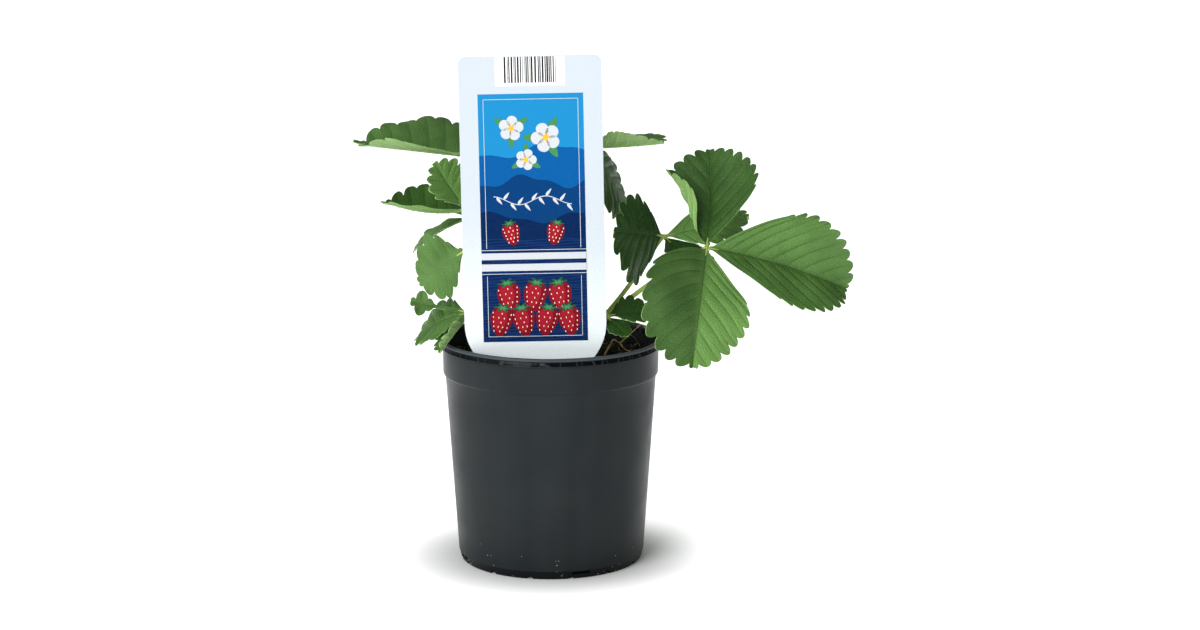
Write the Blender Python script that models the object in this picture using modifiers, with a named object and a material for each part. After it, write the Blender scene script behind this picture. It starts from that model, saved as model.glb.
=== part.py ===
"""Potted strawberry plant: a nursery pot, its soil, a plant label and a strawberry plant with ten leaves.

Metres, +Z up. The origin is the centre of the pot's base on the ground, and the label faces -Y.
Leaves are described by where their three leaflets meet (the knuckle) and by the habit of each leaflet.
"""
import math
from dataclasses import dataclass

import bmesh
import bpy
from mathutils import Vector

MM = 0.001
GAP = 0.3 * MM
MERGE = 0.01 * MM
TUBE_MERGE = 0.005 * MM
BLADE_MERGE = 0.001 * MM
LEAST_BEND = 0.0001

# --- Pot: turned shell with a stepped collar, a rolled lip and a foot ring with drain openings ---
POT_HEIGHT = 122.5 * MM
LIP_RADIUS = 60.0 * MM
LIP_HEIGHT = 4.5 * MM
LIP_LAND = 2.2 * MM
LIP_EDGE = 0.5 * MM
LIP_CHAMFER = 0.6 * MM
COLLAR_RADIUS = 58.5 * MM
COLLAR_FOOT = 103.0 * MM
COLLAR_DRAFT = 0.2 * MM
STEP = 1.4 * MM
STEP_RISE = 0.7 * MM
BODY_FOOT_RADIUS = 50.6 * MM
BODY_FOOT = 5.0 * MM
FOOT_ROUND = 0.7 * MM
FOOT_ROUND_HEIGHT = 2.0 * MM
FOOT_RADIUS = 48.6 * MM
WALL = 1.2 * MM
FLOOR = 1.6 * MM
CENTRE_DISC_RADIUS = 33.0 * MM
CHANNEL_INNER = 35.0 * MM
CHANNEL_OUTER = 44.0 * MM
CHANNEL_RISE = 3.0 * MM
FOOT_INNER = 46.0 * MM
TURN_STEPS = 64
SHARP_ANGLE = math.radians(35)
DRAIN_SLOTS = 8
DRAIN_SLOT = Vector((6.0, 3.2, 8.0)) * MM
FOOT_ARCHES = 14
ARCH_RADIUS = 1.9 * MM
ARCH_DEPTH = 9.0 * MM
ARCH_STEPS = 16
WALL_SLOTS = 4
WALL_SLOT = Vector((6.0, 10.0, 1.6)) * MM
WALL_SLOT_HEIGHT = 3.4 * MM
WALL_SLOT_TURN = 0.34 - math.pi / 2

# --- Soil: fills the pot to a little below the lip and leaves a slot for the label's stake ---
SOIL_TOP = 111.0 * MM
SOIL_LUMP = 0.96 * MM
SOIL_FLAT_RADIUS = 17.0 * MM
SOIL_FADE = 8.0 * MM
SOIL_WAVES = (7.1 * MM, 6.3 * MM, 9.7 * MM)
SOIL_PHASES = (0.6, -0.4)
SOIL_SLANT = 1.7
SOIL_SLANT_SHARE = 0.6
SOIL_RINGS = (0.28, 0.46, 0.62, 0.77, 0.9)
SOIL_STEPS = 40
SOIL_EDGE = 0.6 * MM
SOIL_FOOT = 2.0 * MM

# --- Label: rounded card on a tapering stake, leaning back a little ---
LABEL_WIDTH = 75.0 * MM
LABEL_TOP = 277.5 * MM
LABEL_BOTTOM = 107.0 * MM
LABEL_THICKNESS = 0.5 * MM
LABEL_CENTRE = Vector((-6.8, -36.2)) * MM
LABEL_LEAN = math.radians(2.6)
LABEL_ROLL = math.radians(-1.1)
LABEL_TOP_CORNER = 4.0 * MM
LABEL_LOW_CORNER = 30.0 * MM
STAKE_LENGTH = 38.0 * MM
STAKE_WIDTH = 14.0 * MM
STAKE_POINT = 9.0 * MM
STAKE_TAPER = 8.0 * MM
TOP_CORNER_STEPS = 5
LOW_CORNER_STEPS = 8
LOW_CORNER_TURN = 88

# --- Plant: crown on the soil, thin stalks, leaflets as thickened and bent blades ---
CROWN_PLACE = Vector((4.0, 2.0, 111.3)) * MM
CROWN_RADIUS = 9.5 * MM
CROWN_HEIGHT = 9.0 * MM
CROWN_RINGS = 7
CROWN_STEPS = 28
STALK_CLEARANCE = 0.5 * MM
STALK_BASE = 1.6 * MM
STALK_TOP = 1.0 * MM
STALK_HOLD = 0.35
KNUCKLE_RADIUS = 1.35 * MM
KNUCKLE_RINGS = ((-2.6, 0.78), (-1.0, 0.97), (0.2, 1.0), (0.9, 0.72), (1.25, 0.3))
STALK_POINTS = 9
LEAFLET_STUB = 1.75 * MM
BLADE = 0.6 * MM
BLADE_ROWS = 9
BLADE_COLUMNS = 3
CREASED_COLUMNS = 5
CREASE_START = 0.5 * MM
CREASE_SLOPE = 0.42
CREASE_ARC = 5.0 * MM
OUTLINE_SKEW = 1.24
BASE_FULLNESS = 0.95
TIP_FULLNESS = 0.55
STUB_WIDTH = 0.9 * MM
ROOT_RADIUS = 0.55 * MM

# --- Colours and roughnesses ---
POT_GREY = (0.045, 0.055, 0.065, 1.0)
SOIL_BROWN = (0.05, 0.035, 0.025, 1.0)
LABEL_WHITE = (0.86, 0.92, 1.0, 1.0)
LEAF_GREEN = (0.09, 0.26, 0.06, 1.0)
STALK_GREEN = (0.33, 0.46, 0.14, 1.0)
CROWN_BROWN = (0.28, 0.2, 0.1, 1.0)
ROOT_TAN = (0.3, 0.16, 0.07, 1.0)
POT_ROUGHNESS = 0.35
SOIL_ROUGHNESS = 0.95
LABEL_ROUGHNESS = 0.4
LEAF_ROUGHNESS = 0.45
STALK_ROUGHNESS = 0.5
CROWN_ROUGHNESS = 0.8


@dataclass
class Leaflet:
    """One leaflet: way it points (degrees), size (mm) and how its blade is folded, curled and bent."""

    heading: float
    pitch: float
    roll: float
    length: float
    width: float
    fold_left: float = 15.0
    fold_right: float = 15.0
    droop: float = 10.0
    lean: float = 0.0
    curl_left: float = 0.0
    neck: float = 0.0


@dataclass
class Leaf:
    """One leaf: knuckle (mm), the way its stalk leaves the crown and arrives (heading, pitch), leaflets."""

    knuckle: tuple
    leaves: tuple
    arrives: tuple
    leaflets: dict


LEAVES = {
    "front_right_leaf": Leaf((83, -28, 176), (-12, 40), (-30, 30), {
        "middle_leaflet": Leaflet(10, -12, 57, 86, 58, 40, 21, 26, 0.05),
        "right_leaflet": Leaflet(-96, -25, -7, 71, 68, -24, 40, 60, -0.15),
        "left_leaflet": Leaflet(81, 41, -13, 58, 60, 24, 20, -25, -0.07, curl_left=105),
    }),
    "back_right_leaf": Leaf((61, 14, 175), (26, 30), (10, 55), {
        "middle_leaflet": Leaflet(-48, -24, 0, 36, 30, 10, 10, 15),
        "right_leaflet": Leaflet(-120, 14, -60, 44, 48, -28, 21, 15, 0.15),
        "left_leaflet": Leaflet(-3, 12, 20, 46, 46, 6, 3, 0),
    }),
    "top_right_leaf": Leaf((21, 8, 225), (30, 74), (15, 64), {
        "middle_leaflet": Leaflet(36, -50, 43, 46, 42, 0, -12, 12),
        "right_leaflet": Leaflet(-28, 4, 4, 43, 38, 8, 30, -4),
        "left_leaflet": Leaflet(165, 14, 0, 34, 30, 14, 14, 10),
    }),
    "top_left_leaf": Leaf((-31, 6, 219), (170, 78), (170, 66), {
        "middle_leaflet": Leaflet(157, 2, 0, 79, 70, 13, 25, 0),
        "right_leaflet": Leaflet(78, 38, 0, 34, 30, 12, 12, 10),
        "left_leaflet": Leaflet(-28, 6, 0, 28, 25, 12, 12, 12),
    }),
    "upper_left_leaf": Leaf((-45, -8, 193.5), (196, 46), (190, 62), {
        "middle_leaflet": Leaflet(154, -13, -3, 48, 43, 18, 28, -28),
        "right_leaflet": Leaflet(72, 52, 0, 24, 22, 14, 14, 5),
        "left_leaflet": Leaflet(172, 52, -34, 28, 32, 10, 10, -12),
    }),
    "back_left_leaf": Leaf((-43, 12, 186), (146, 40), (165, 55), {
        "middle_leaflet": Leaflet(184, -16, 0, 36, 30, 5, 4, 31),
        "right_leaflet": Leaflet(122, 4, 0, 32, 28, 14, 14, 14),
        "left_leaflet": Leaflet(48, -4, 0, 22, 19, 14, 14, 12),
    }),
    "left_leaf": Leaf((-44, -24, 174), (226, 34), (206, 52), {
        "middle_leaflet": Leaflet(170, -30, -62, 33, 38, -9, -5, 26, -0.1),
        "right_leaflet": Leaflet(84, -12, 0, 19, 13, 12, 12, 12),
        "left_leaflet": Leaflet(-4, 6, 0, 22, 13, 14, 14, 12),
    }),
    "low_left_leaf": Leaf((-43, -22, 140), (250, 22), (208, 30), {
        "middle_leaflet": Leaflet(158, -16, -26, 34, 38, 4, 10, 23),
        "left_leaflet": Leaflet(-134, -38, 20, 27, 24, 36, 10, 5),
        "small_leaflet": Leaflet(174, 8, -66, 30, 13, 12, 10, -14, neck=0.55),
    }),
    "low_right_leaf": Leaf((30, -27, 139), (-58, 24), (-42, 44), {
        "middle_leaflet": Leaflet(14, 10, 22, 25, 25, 14, 6, 25),
        "right_leaflet": Leaflet(-42, -30, 12, 16, 14, 0, 0, 0),
        "left_leaflet": Leaflet(165, 24, 0, 17, 14, 12, 12, 8),
    }),
    "back_leaf": Leaf((-8, 42, 188), (95, 40), (95, 62), {
        "middle_leaflet": Leaflet(92, 2, 0, 50, 44, 14, 14, 16),
        "right_leaflet": Leaflet(14, 8, 0, 30, 27, 14, 14, 12),
        "left_leaflet": Leaflet(168, 8, 0, 30, 27, 14, 14, 12),
    }),
}

ROOT_ROUTE = [(29, 2, 111.2), (31, 4, 114.5), (34, 6, 119.5), (37.5, 4, 117.5), (43, 6, 122), (49, 8, 127.5),
              (51.5, 6, 125.5), (54, 9, 126.5)]


def new_collection(name, parent):
    """Make a collection inside another one."""
    collection = bpy.data.collections.new(name)
    parent.children.link(collection)
    return collection


def add_object(name, mesh, collection, colour=None, roughness=STALK_ROUGHNESS):
    """Make an object from a mesh, with a material of its own when it has a colour."""
    thing = bpy.data.objects.new(name, mesh)
    collection.objects.link(thing)
    if colour:
        material = bpy.data.materials.new(name + "_finish")
        material.use_nodes = True
        principled = material.node_tree.nodes["Principled BSDF"]
        principled.inputs["Base Color"].default_value = colour
        principled.inputs["Roughness"].default_value = roughness
        mesh.materials.append(material)
    return thing


def baked(thing):
    """Replace an object's mesh by the result of its modifiers."""
    graph = bpy.context.evaluated_depsgraph_get()
    mesh = bpy.data.meshes.new_from_object(thing.evaluated_get(graph))
    thing.modifiers.clear()
    thing.data = mesh
    return thing


def cleaned(mesh, merge=MERGE):
    """Weld a mesh's matching points and turn its faces outward."""
    work = bmesh.new()
    work.from_mesh(mesh)
    bmesh.ops.remove_doubles(work, verts=work.verts, dist=merge)
    bmesh.ops.recalc_face_normals(work, faces=work.faces)
    work.to_mesh(mesh)
    work.free()
    return mesh


def shaded(thing):
    """Shade an object smooth, apart from its sharp edges."""
    thing.data.shade_smooth()
    thing.data.set_sharp_from_angle(angle=SHARP_ANGLE)
    return thing


def turned(name, profile, collection, colour, roughness, steps=TURN_STEPS):
    """Turn a closed profile of (radius, height) points about the Z axis with a Screw modifier."""
    mesh = bpy.data.meshes.new(name)
    points = [(radius, 0.0, height) for radius, height in profile]
    edges = [(index, index + 1) for index in range(len(points) - 1)]
    mesh.from_pydata(points, edges, [])
    thing = add_object(name, mesh, collection, colour, roughness)
    screw = thing.modifiers.new("turn", "SCREW")
    screw.steps = steps
    screw.render_steps = steps
    screw.use_merge_vertices = True
    screw.merge_threshold = MERGE
    baked(thing)
    cleaned(thing.data)
    return shaded(thing)


def box_cutter(name, size, place, turn, collection):
    """Make a box cutter of a given size, turned about Z."""
    mesh = bpy.data.meshes.new(name)
    work = bmesh.new()
    bmesh.ops.create_cube(work, size=1.0)
    bmesh.ops.scale(work, vec=size, verts=work.verts)
    work.to_mesh(mesh)
    work.free()
    cutter = add_object(name, mesh, collection)
    cutter.location = place
    cutter.rotation_euler = (0.0, 0.0, turn)
    return cutter


def arch_cutter(name, radius, depth, place, turn, collection):
    """Make a lying cylinder cutter that points away from the pot's axis."""
    mesh = bpy.data.meshes.new(name)
    work = bmesh.new()
    bmesh.ops.create_cone(work, cap_ends=True, segments=ARCH_STEPS, radius1=radius, radius2=radius, depth=depth)
    work.to_mesh(mesh)
    work.free()
    cutter = add_object(name, mesh, collection)
    cutter.location = place
    cutter.rotation_euler = (0.0, math.pi / 2, turn)
    return cutter


def cut(thing, cutters):
    """Cut every cutter out of an object."""
    for cutter in cutters:
        cutter.hide_render = True
        cutter.display_type = "WIRE"
        boolean = thing.modifiers.new("cut", "BOOLEAN")
        boolean.object = cutter
        boolean.operation = "DIFFERENCE"
        boolean.solver = "EXACT"
    bpy.context.view_layer.update()
    baked(thing)
    cleaned(thing.data)
    return thing


def around(radius, turn, height):
    """Return the point at a radius, an angle about Z and a height."""
    return Vector((radius * math.cos(turn), radius * math.sin(turn), height))


def pot_outside():
    """Return the outer side of the pot's section, from the lip down and under the base."""
    lip_foot = POT_HEIGHT - LIP_HEIGHT
    return [
        (LIP_RADIUS - LIP_LAND + LIP_EDGE, POT_HEIGHT),
        (LIP_RADIUS - LIP_EDGE, POT_HEIGHT),
        (LIP_RADIUS, POT_HEIGHT - LIP_CHAMFER),
        (LIP_RADIUS, lip_foot + LIP_CHAMFER),
        (LIP_RADIUS - LIP_CHAMFER, lip_foot),
        (COLLAR_RADIUS, lip_foot - LIP_EDGE),
        (COLLAR_RADIUS - COLLAR_DRAFT, COLLAR_FOOT + STEP_RISE),
        (COLLAR_RADIUS - STEP, COLLAR_FOOT - STEP_RISE),
        (BODY_FOOT_RADIUS, BODY_FOOT),
        (BODY_FOOT_RADIUS - FOOT_ROUND, FOOT_ROUND_HEIGHT),
        (FOOT_RADIUS, 0.0),
        (FOOT_INNER, 0.0),
        (CHANNEL_OUTER, CHANNEL_RISE),
        (CHANNEL_INNER, CHANNEL_RISE),
        (CENTRE_DISC_RADIUS, 0.0),
        (0.0, 0.0),
    ]


def pot_inside():
    """Return the inner side of the pot's section, from the middle of its floor up to the lip."""
    channel_floor = CHANNEL_RISE + FLOOR
    inner_lip = LIP_RADIUS - LIP_LAND
    return [
        (0.0, FLOOR),
        (CENTRE_DISC_RADIUS - WALL / 2, FLOOR),
        (CHANNEL_INNER - WALL / 2, channel_floor),
        (BODY_FOOT_RADIUS - 2 * WALL, channel_floor),
        (BODY_FOOT_RADIUS - WALL, channel_floor + WALL),
        (COLLAR_RADIUS - STEP - WALL, COLLAR_FOOT),
        (COLLAR_RADIUS - COLLAR_DRAFT - WALL, COLLAR_FOOT + 2 * STEP_RISE),
        (inner_lip, POT_HEIGHT - LIP_CHAMFER),
        (inner_lip + LIP_EDGE, POT_HEIGHT),
    ]


def build_pot(collection, cutters):
    """Turn the pot and cut its drain slots, foot arches and wall slots."""
    pot = turned("pot", pot_outside() + pot_inside(), collection, POT_GREY, POT_ROUGHNESS)
    tools = []
    channel_middle = (CHANNEL_INNER + CHANNEL_OUTER) / 2
    for index in range(DRAIN_SLOTS):
        turn = 2 * math.pi * (index + 0.5) / DRAIN_SLOTS
        place = around(channel_middle, turn, CHANNEL_RISE + FLOOR / 2)
        tools.append(box_cutter(f"drain_cutter_{index}", DRAIN_SLOT, place, turn, cutters))
    for index in range(FOOT_ARCHES):
        turn = 2 * math.pi * index / FOOT_ARCHES
        place = around((FOOT_INNER + FOOT_RADIUS) / 2, turn, 0.0)
        tools.append(arch_cutter(f"arch_cutter_{index}", ARCH_RADIUS, ARCH_DEPTH, place, turn, cutters))
    for index in range(WALL_SLOTS):
        turn = WALL_SLOT_TURN + 2 * math.pi * index / WALL_SLOTS
        place = around(BODY_FOOT_RADIUS, turn, WALL_SLOT_HEIGHT)
        tools.append(box_cutter(f"wall_cutter_{index}", WALL_SLOT, place, turn, cutters))
    return shaded(cut(pot, tools))


def soil_height(x, y):
    """Return how far a point of the soil's top stands above its level: gentle lumps, flat by the crown."""
    away = math.hypot(x - CROWN_PLACE.x, y - CROWN_PLACE.y)
    fade = min(1.0, max(0.0, (away - SOIL_FLAT_RADIUS) / SOIL_FADE))
    along, across, slanting = SOIL_WAVES
    first, second = SOIL_PHASES
    waves = math.sin(x / along + first) * math.cos(y / across + second)
    waves += SOIL_SLANT_SHARE * math.sin((x + SOIL_SLANT * y) / slanting)
    return SOIL_LUMP * fade * waves


def build_soil(collection, cutters):
    """Turn the soil to the pot's inside, raise its lumps and cut the slot of the label's stake."""
    floor = CHANNEL_RISE + FLOOR + GAP
    low = BODY_FOOT_RADIUS - WALL - GAP
    high = COLLAR_RADIUS - STEP - WALL - 2 * GAP
    shoulder = COLLAR_FOOT - GAP
    profile = [(0.0, SOIL_TOP)] + [(high * share, SOIL_TOP) for share in SOIL_RINGS]
    profile += [(high, SOIL_TOP - SOIL_EDGE), (high, shoulder), (low, floor + SOIL_FOOT)]
    profile += [(low - WALL, floor), (0.0, floor)]
    soil = turned("soil", profile, collection, SOIL_BROWN, SOIL_ROUGHNESS, SOIL_STEPS)
    for vertex in soil.data.vertices:
        if vertex.co.z > SOIL_TOP - SOIL_EDGE / 2:
            vertex.co.z += soil_height(vertex.co.x, vertex.co.y)
    stake = label_shape("stake_cutter", cutters, GAP)
    return shaded(cut(soil, [stake]))


def arc(centre_x, centre_y, radius, start, end, steps):
    """Return points along an arc, angles in degrees."""
    points = []
    for index in range(steps + 1):
        turn = math.radians(start + (end - start) * index / steps)
        points.append((centre_x + radius * math.cos(turn), centre_y + radius * math.sin(turn)))
    return points


def label_outline(extra):
    """Return the label's outline, grown by a little extra, with its height measured from the card's foot."""
    half = LABEL_WIDTH / 2 + extra
    top = (LABEL_TOP - LABEL_BOTTOM) / math.cos(LABEL_LEAN) + extra
    high = LABEL_TOP_CORNER
    low = LABEL_LOW_CORNER
    foot = -extra
    stake = STAKE_WIDTH / 2 + extra
    point = STAKE_POINT / 2 + extra
    deep = -STAKE_LENGTH - extra
    points = arc(half - high, top - high, high, 0, 90, TOP_CORNER_STEPS)
    points += arc(-half + high, top - high, high, 90, 180, TOP_CORNER_STEPS)
    points += arc(-half + low, foot + low, low, 180, 180 + LOW_CORNER_TURN, LOW_CORNER_STEPS)
    points += [(-stake, foot), (-point, deep + STAKE_TAPER), (0.0, deep)]
    points += [(point, deep + STAKE_TAPER), (stake, foot)]
    points += arc(half - low, foot + low, low, -LOW_CORNER_TURN, 0, LOW_CORNER_STEPS)
    return points


def label_shape(name, collection, extra, colour=None):
    """Cut the label, or the room that it takes, from flat stock and stand it up."""
    curve = bpy.data.curves.new(name, "CURVE")
    curve.dimensions = "2D"
    curve.fill_mode = "BOTH"
    curve.extrude = LABEL_THICKNESS / 2 + extra
    outline = label_outline(extra)
    spline = curve.splines.new("POLY")
    spline.points.add(len(outline) - 1)
    spline.use_cyclic_u = True
    for point, (x, y) in zip(spline.points, outline):
        point.co = (x, y, 0.0, 1.0)
    drawn = bpy.data.objects.new(name + "_curve", curve)
    collection.objects.link(drawn)
    graph = bpy.context.evaluated_depsgraph_get()
    mesh = cleaned(bpy.data.meshes.new_from_object(drawn.evaluated_get(graph)))
    bpy.data.objects.remove(drawn)
    mesh.name = name
    label = add_object(name, mesh, collection, colour, LABEL_ROUGHNESS)
    label.location = (LABEL_CENTRE.x, LABEL_CENTRE.y, LABEL_BOTTOM)
    label.rotation_mode = "ZXY"
    label.rotation_euler = (math.pi / 2 - LABEL_LEAN, LABEL_ROLL, 0.0)
    return label


def tube(name, route, radii, collection, colour):
    """Sweep a round section along a route, with a radius at every point."""
    curve = bpy.data.curves.new(name, "CURVE")
    curve.dimensions = "3D"
    curve.bevel_depth = 1.0
    curve.bevel_resolution = 2
    curve.use_fill_caps = True
    spline = curve.splines.new("POLY")
    spline.points.add(len(route) - 1)
    for point, place, radius in zip(spline.points, route, radii):
        point.co = (place.x, place.y, place.z, 1.0)
        point.radius = radius
    drawn = bpy.data.objects.new(name + "_curve", curve)
    collection.objects.link(drawn)
    graph = bpy.context.evaluated_depsgraph_get()
    mesh = cleaned(bpy.data.meshes.new_from_object(drawn.evaluated_get(graph)), TUBE_MERGE)
    bpy.data.objects.remove(drawn)
    mesh.name = name
    return shaded(add_object(name, mesh, collection, colour, STALK_ROUGHNESS))


def direction(heading, pitch):
    """Return the unit vector of a heading and a pitch in degrees."""
    turn = math.radians(heading)
    rise = math.radians(pitch)
    return Vector((math.cos(rise) * math.cos(turn), math.cos(rise) * math.sin(turn), math.sin(rise)))


def crown_reach(pitch):
    """Return how far the crown's dome reaches from its foot's centre in a direction of this pitch."""
    rise = math.radians(pitch)
    return 1 / math.hypot(math.cos(rise) / CROWN_RADIUS, math.sin(rise) / CROWN_HEIGHT)


def stalk_route(leaf):
    """Return a stalk's points from the crown to the knuckle, along a cubic curve."""
    away = direction(*leaf.leaves)
    towards = direction(*leaf.arrives)
    start = CROWN_PLACE + away * (crown_reach(leaf.leaves[1]) + STALK_CLEARANCE)
    end = Vector(leaf.knuckle) * MM
    reach = (end - start).length
    second = start + away * reach * STALK_HOLD
    third = end - towards * reach * STALK_HOLD
    route = []
    for index in range(STALK_POINTS + 1):
        t = index / STALK_POINTS
        s = 1 - t
        route.append(start * s ** 3 + second * 3 * s * s * t + third * 3 * s * t * t + end * t ** 3)
    return route


def build_stalk(name, leaf, collection):
    """Sweep a stalk that thins upward and ends in a round knuckle."""
    route = stalk_route(leaf)
    radii = []
    for index in range(len(route)):
        radii.append(STALK_BASE + (STALK_TOP - STALK_BASE) * index / (len(route) - 1))
    end = route.pop()
    radii.pop()
    way = (end - route[-1]).normalized()
    for along, radius in KNUCKLE_RINGS:
        route.append(end + way * along * MM)
        radii.append(KNUCKLE_RADIUS * radius)
    return tube(name, route, radii, collection, STALK_GREEN)


def blade_half_width(habit, share, side):
    """Return a leaflet's half width at a share of its length, on its left (1) or right (-1)."""
    share = (share - habit.neck) / (1 - habit.neck)
    share = min(1.0, max(0.0, share))
    full = max(0.0, math.sin(math.pi * share ** OUTLINE_SKEW))
    fullness = BASE_FULLNESS + (TIP_FULLNESS - BASE_FULLNESS) * share
    half = habit.width * MM / 2 * (1 + side * habit.lean) * full ** fullness
    return max(half, STUB_WIDTH)


def blade_point(habit, along, across):
    """Return a blade's point: bent down along its length, folded about the midrib and creased on the left.

    The midrib is an arc of radius length / droop. A half goes up from it at its fold angle. On the left it
    turns on by the curl over a short arc, from a crease that leaves the midrib in a straight line.
    """
    length = habit.length * MM
    bend = math.radians(habit.droop) or LEAST_BEND
    turn = bend * along / length
    x = length / bend * math.sin(turn)
    z = -length / bend * (1 - math.cos(turn))
    side = 1.0 if across >= 0 else -1.0
    fold = math.radians(habit.fold_left if side > 0 else habit.fold_right)
    curl = math.radians(habit.curl_left if side > 0 else 0.0) + LEAST_BEND
    reach = abs(across)
    crease = CREASE_START + CREASE_SLOPE * along
    inner = min(reach, crease)
    arc_length = min(max(reach - crease, 0.0), CREASE_ARC)
    outer = max(reach - crease - CREASE_ARC, 0.0)
    radius = CREASE_ARC / curl
    late = fold + arc_length / radius
    y = side * (inner * math.cos(fold) + (math.sin(late) - math.sin(fold)) * radius + outer * math.cos(late))
    up = inner * math.sin(fold) + (math.cos(fold) - math.cos(late)) * radius + outer * math.sin(late)
    return Vector((x + up * math.sin(turn), y, z + up * math.cos(turn)))


def build_leaflet(name, knuckle, habit, collection):
    """Shape a flat grid into a blade, thicken it and point it away from its knuckle."""
    mesh = bpy.data.meshes.new(name)
    work = bmesh.new()
    columns = CREASED_COLUMNS if habit.curl_left else BLADE_COLUMNS
    bmesh.ops.create_grid(work, x_segments=BLADE_ROWS, y_segments=2 * columns, size=1.0)
    for vertex in work.verts:
        share = (vertex.co.x + 1) / 2
        side = 1 if vertex.co.y >= 0 else -1
        across = vertex.co.y * blade_half_width(habit, share, side)
        vertex.co = blade_point(habit, share * habit.length * MM, across)
    work.to_mesh(mesh)
    work.free()
    leaflet = add_object(name, mesh, collection, LEAF_GREEN, LEAF_ROUGHNESS)
    solidify = leaflet.modifiers.new("thickness", "SOLIDIFY")
    solidify.thickness = BLADE
    solidify.offset = 0.0
    solidify.use_even_offset = False
    baked(leaflet)
    cleaned(leaflet.data, BLADE_MERGE)
    leaflet.location = Vector(knuckle) * MM + direction(habit.heading, habit.pitch) * LEAFLET_STUB
    leaflet.rotation_euler = (math.radians(habit.roll), -math.radians(habit.pitch), math.radians(habit.heading))
    return shaded(leaflet)


def build_crown(collection):
    """Turn the low dome of the crown that the stalks grow from."""
    profile = [(0.0, CROWN_HEIGHT)]
    for index in range(1, CROWN_RINGS + 1):
        turn = math.pi / 2 * (1 - index / CROWN_RINGS)
        profile.append((CROWN_RADIUS * math.cos(turn), CROWN_HEIGHT * math.sin(turn)))
    profile.append((0.0, 0.0))
    crown = turned("crown", profile, collection, CROWN_BROWN, CROWN_ROUGHNESS, CROWN_STEPS)
    crown.location = CROWN_PLACE
    return crown


def main():
    """Build the pot, its soil, the label and the plant."""
    for thing in list(bpy.data.objects):
        bpy.data.objects.remove(thing)
    scene = bpy.context.scene.collection
    plant = new_collection("potted_strawberry_plant", scene)
    cutters = new_collection("cutters", scene)
    build_pot(plant, cutters)
    build_soil(plant, cutters)
    label_shape("plant_label", plant, 0.0, LABEL_WHITE)
    build_crown(plant)
    for name, leaf in LEAVES.items():
        build_stalk(name + "_stalk", leaf, plant)
        for part, habit in leaf.leaflets.items():
            build_leaflet(f"{name}_{part}", leaf.knuckle, habit, plant)
    route = [Vector(point) * MM for point in ROOT_ROUTE]
    tube("dry_root", route, [ROOT_RADIUS] * len(route), plant, ROOT_TAN)


main()
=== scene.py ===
"""The looks of a potted strawberry plant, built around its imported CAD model.

Metres, +Z up. The origin is the centre of the pot's base on the ground, and the label faces -Y.
Shapes are worked out in millimetres as whole numpy arrays, and become metres when their mesh is made.
"""

import logging
from collections.abc import Sequence
from dataclasses import dataclass, field
from enum import Enum

import bpy
import numpy as np
from mathutils import Euler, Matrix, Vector


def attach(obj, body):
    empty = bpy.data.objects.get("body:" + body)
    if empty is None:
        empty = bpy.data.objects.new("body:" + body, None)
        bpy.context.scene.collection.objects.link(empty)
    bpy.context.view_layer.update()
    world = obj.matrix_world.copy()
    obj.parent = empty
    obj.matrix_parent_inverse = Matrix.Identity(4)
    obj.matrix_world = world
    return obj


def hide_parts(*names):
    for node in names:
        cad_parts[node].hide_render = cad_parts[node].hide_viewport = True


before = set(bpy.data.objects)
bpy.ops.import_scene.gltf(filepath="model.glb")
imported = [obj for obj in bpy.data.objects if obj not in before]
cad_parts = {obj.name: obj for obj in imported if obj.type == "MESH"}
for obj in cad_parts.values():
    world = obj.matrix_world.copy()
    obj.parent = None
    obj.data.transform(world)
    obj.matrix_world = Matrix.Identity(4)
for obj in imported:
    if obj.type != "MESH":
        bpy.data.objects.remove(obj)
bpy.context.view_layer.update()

MM = 0.001
BODY = "root"
CROWN_PLACE = (4.0, 2.0, 111.3)
STUB = 1.75
OUTLINE_SKEW = 1.24
BASE_FULLNESS = 0.95
FULLNESS_LOSS = 0.4
LEAST_BEND = 1e-4
BLADE_SKIN = 0.18
ROW_BUNCHING = 1.3
COLUMN_BUNCHING = 1.35
LOBE_POWER = 0.62
RIDGE_POWER = 0.55
STALK_CLEARANCE = 0.5
STALK_HOLD = 0.35
STALK_BASE = 1.6
STALK_LOSS = 0.6
FLARE = (0.7, 0.05)
SWELLING = (0.35, 0.035)
Array = np.ndarray
Colour = tuple[float, float, float]
Socket = bpy.types.NodeSocket
LOG = logging.getLogger("strawberry")


class Space(Enum):
    """The coordinates in which a finish lays out its pattern."""

    OBJECT = "Object"
    PATTERN = "UV"


class Slot(Enum):
    """The record's material slots."""

    POT = "pot_plastic"
    SOIL = "soil"
    LABEL = "label_card"
    CROWN = "crown"
    STALK = "stalk"
    LEAF = "leaf"
    ROOT = "dry_root"


# --- Small tools for arrays and meshes ---


def unit(vectors: Array) -> Array:
    """Scale vectors along the last axis to length one."""
    return vectors / np.maximum(np.linalg.norm(vectors, axis=-1, keepdims=True), 1e-12)


def ease(value: Array, low: float, high: float) -> Array:
    """Rise smoothly from 0 at low to 1 at high: s * s * (3 - 2 * s), where s is the clipped share."""
    share = np.clip((value - low) / (high - low), 0.0, 1.0)
    return share * share * (3.0 - 2.0 * share)


def direction(heading: float, pitch: float) -> Array:
    """Return the unit vector of a heading and a pitch in degrees."""
    turn, rise = np.radians(heading), np.radians(pitch)
    return np.array([np.cos(rise) * np.cos(turn), np.cos(rise) * np.sin(turn), np.sin(rise)])


def rotation(angles: Sequence[float], order: str = "XYZ") -> Array:
    """Return the 3 x 3 matrix of Euler angles in radians."""
    return np.array(Euler(angles, order).to_matrix())


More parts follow.
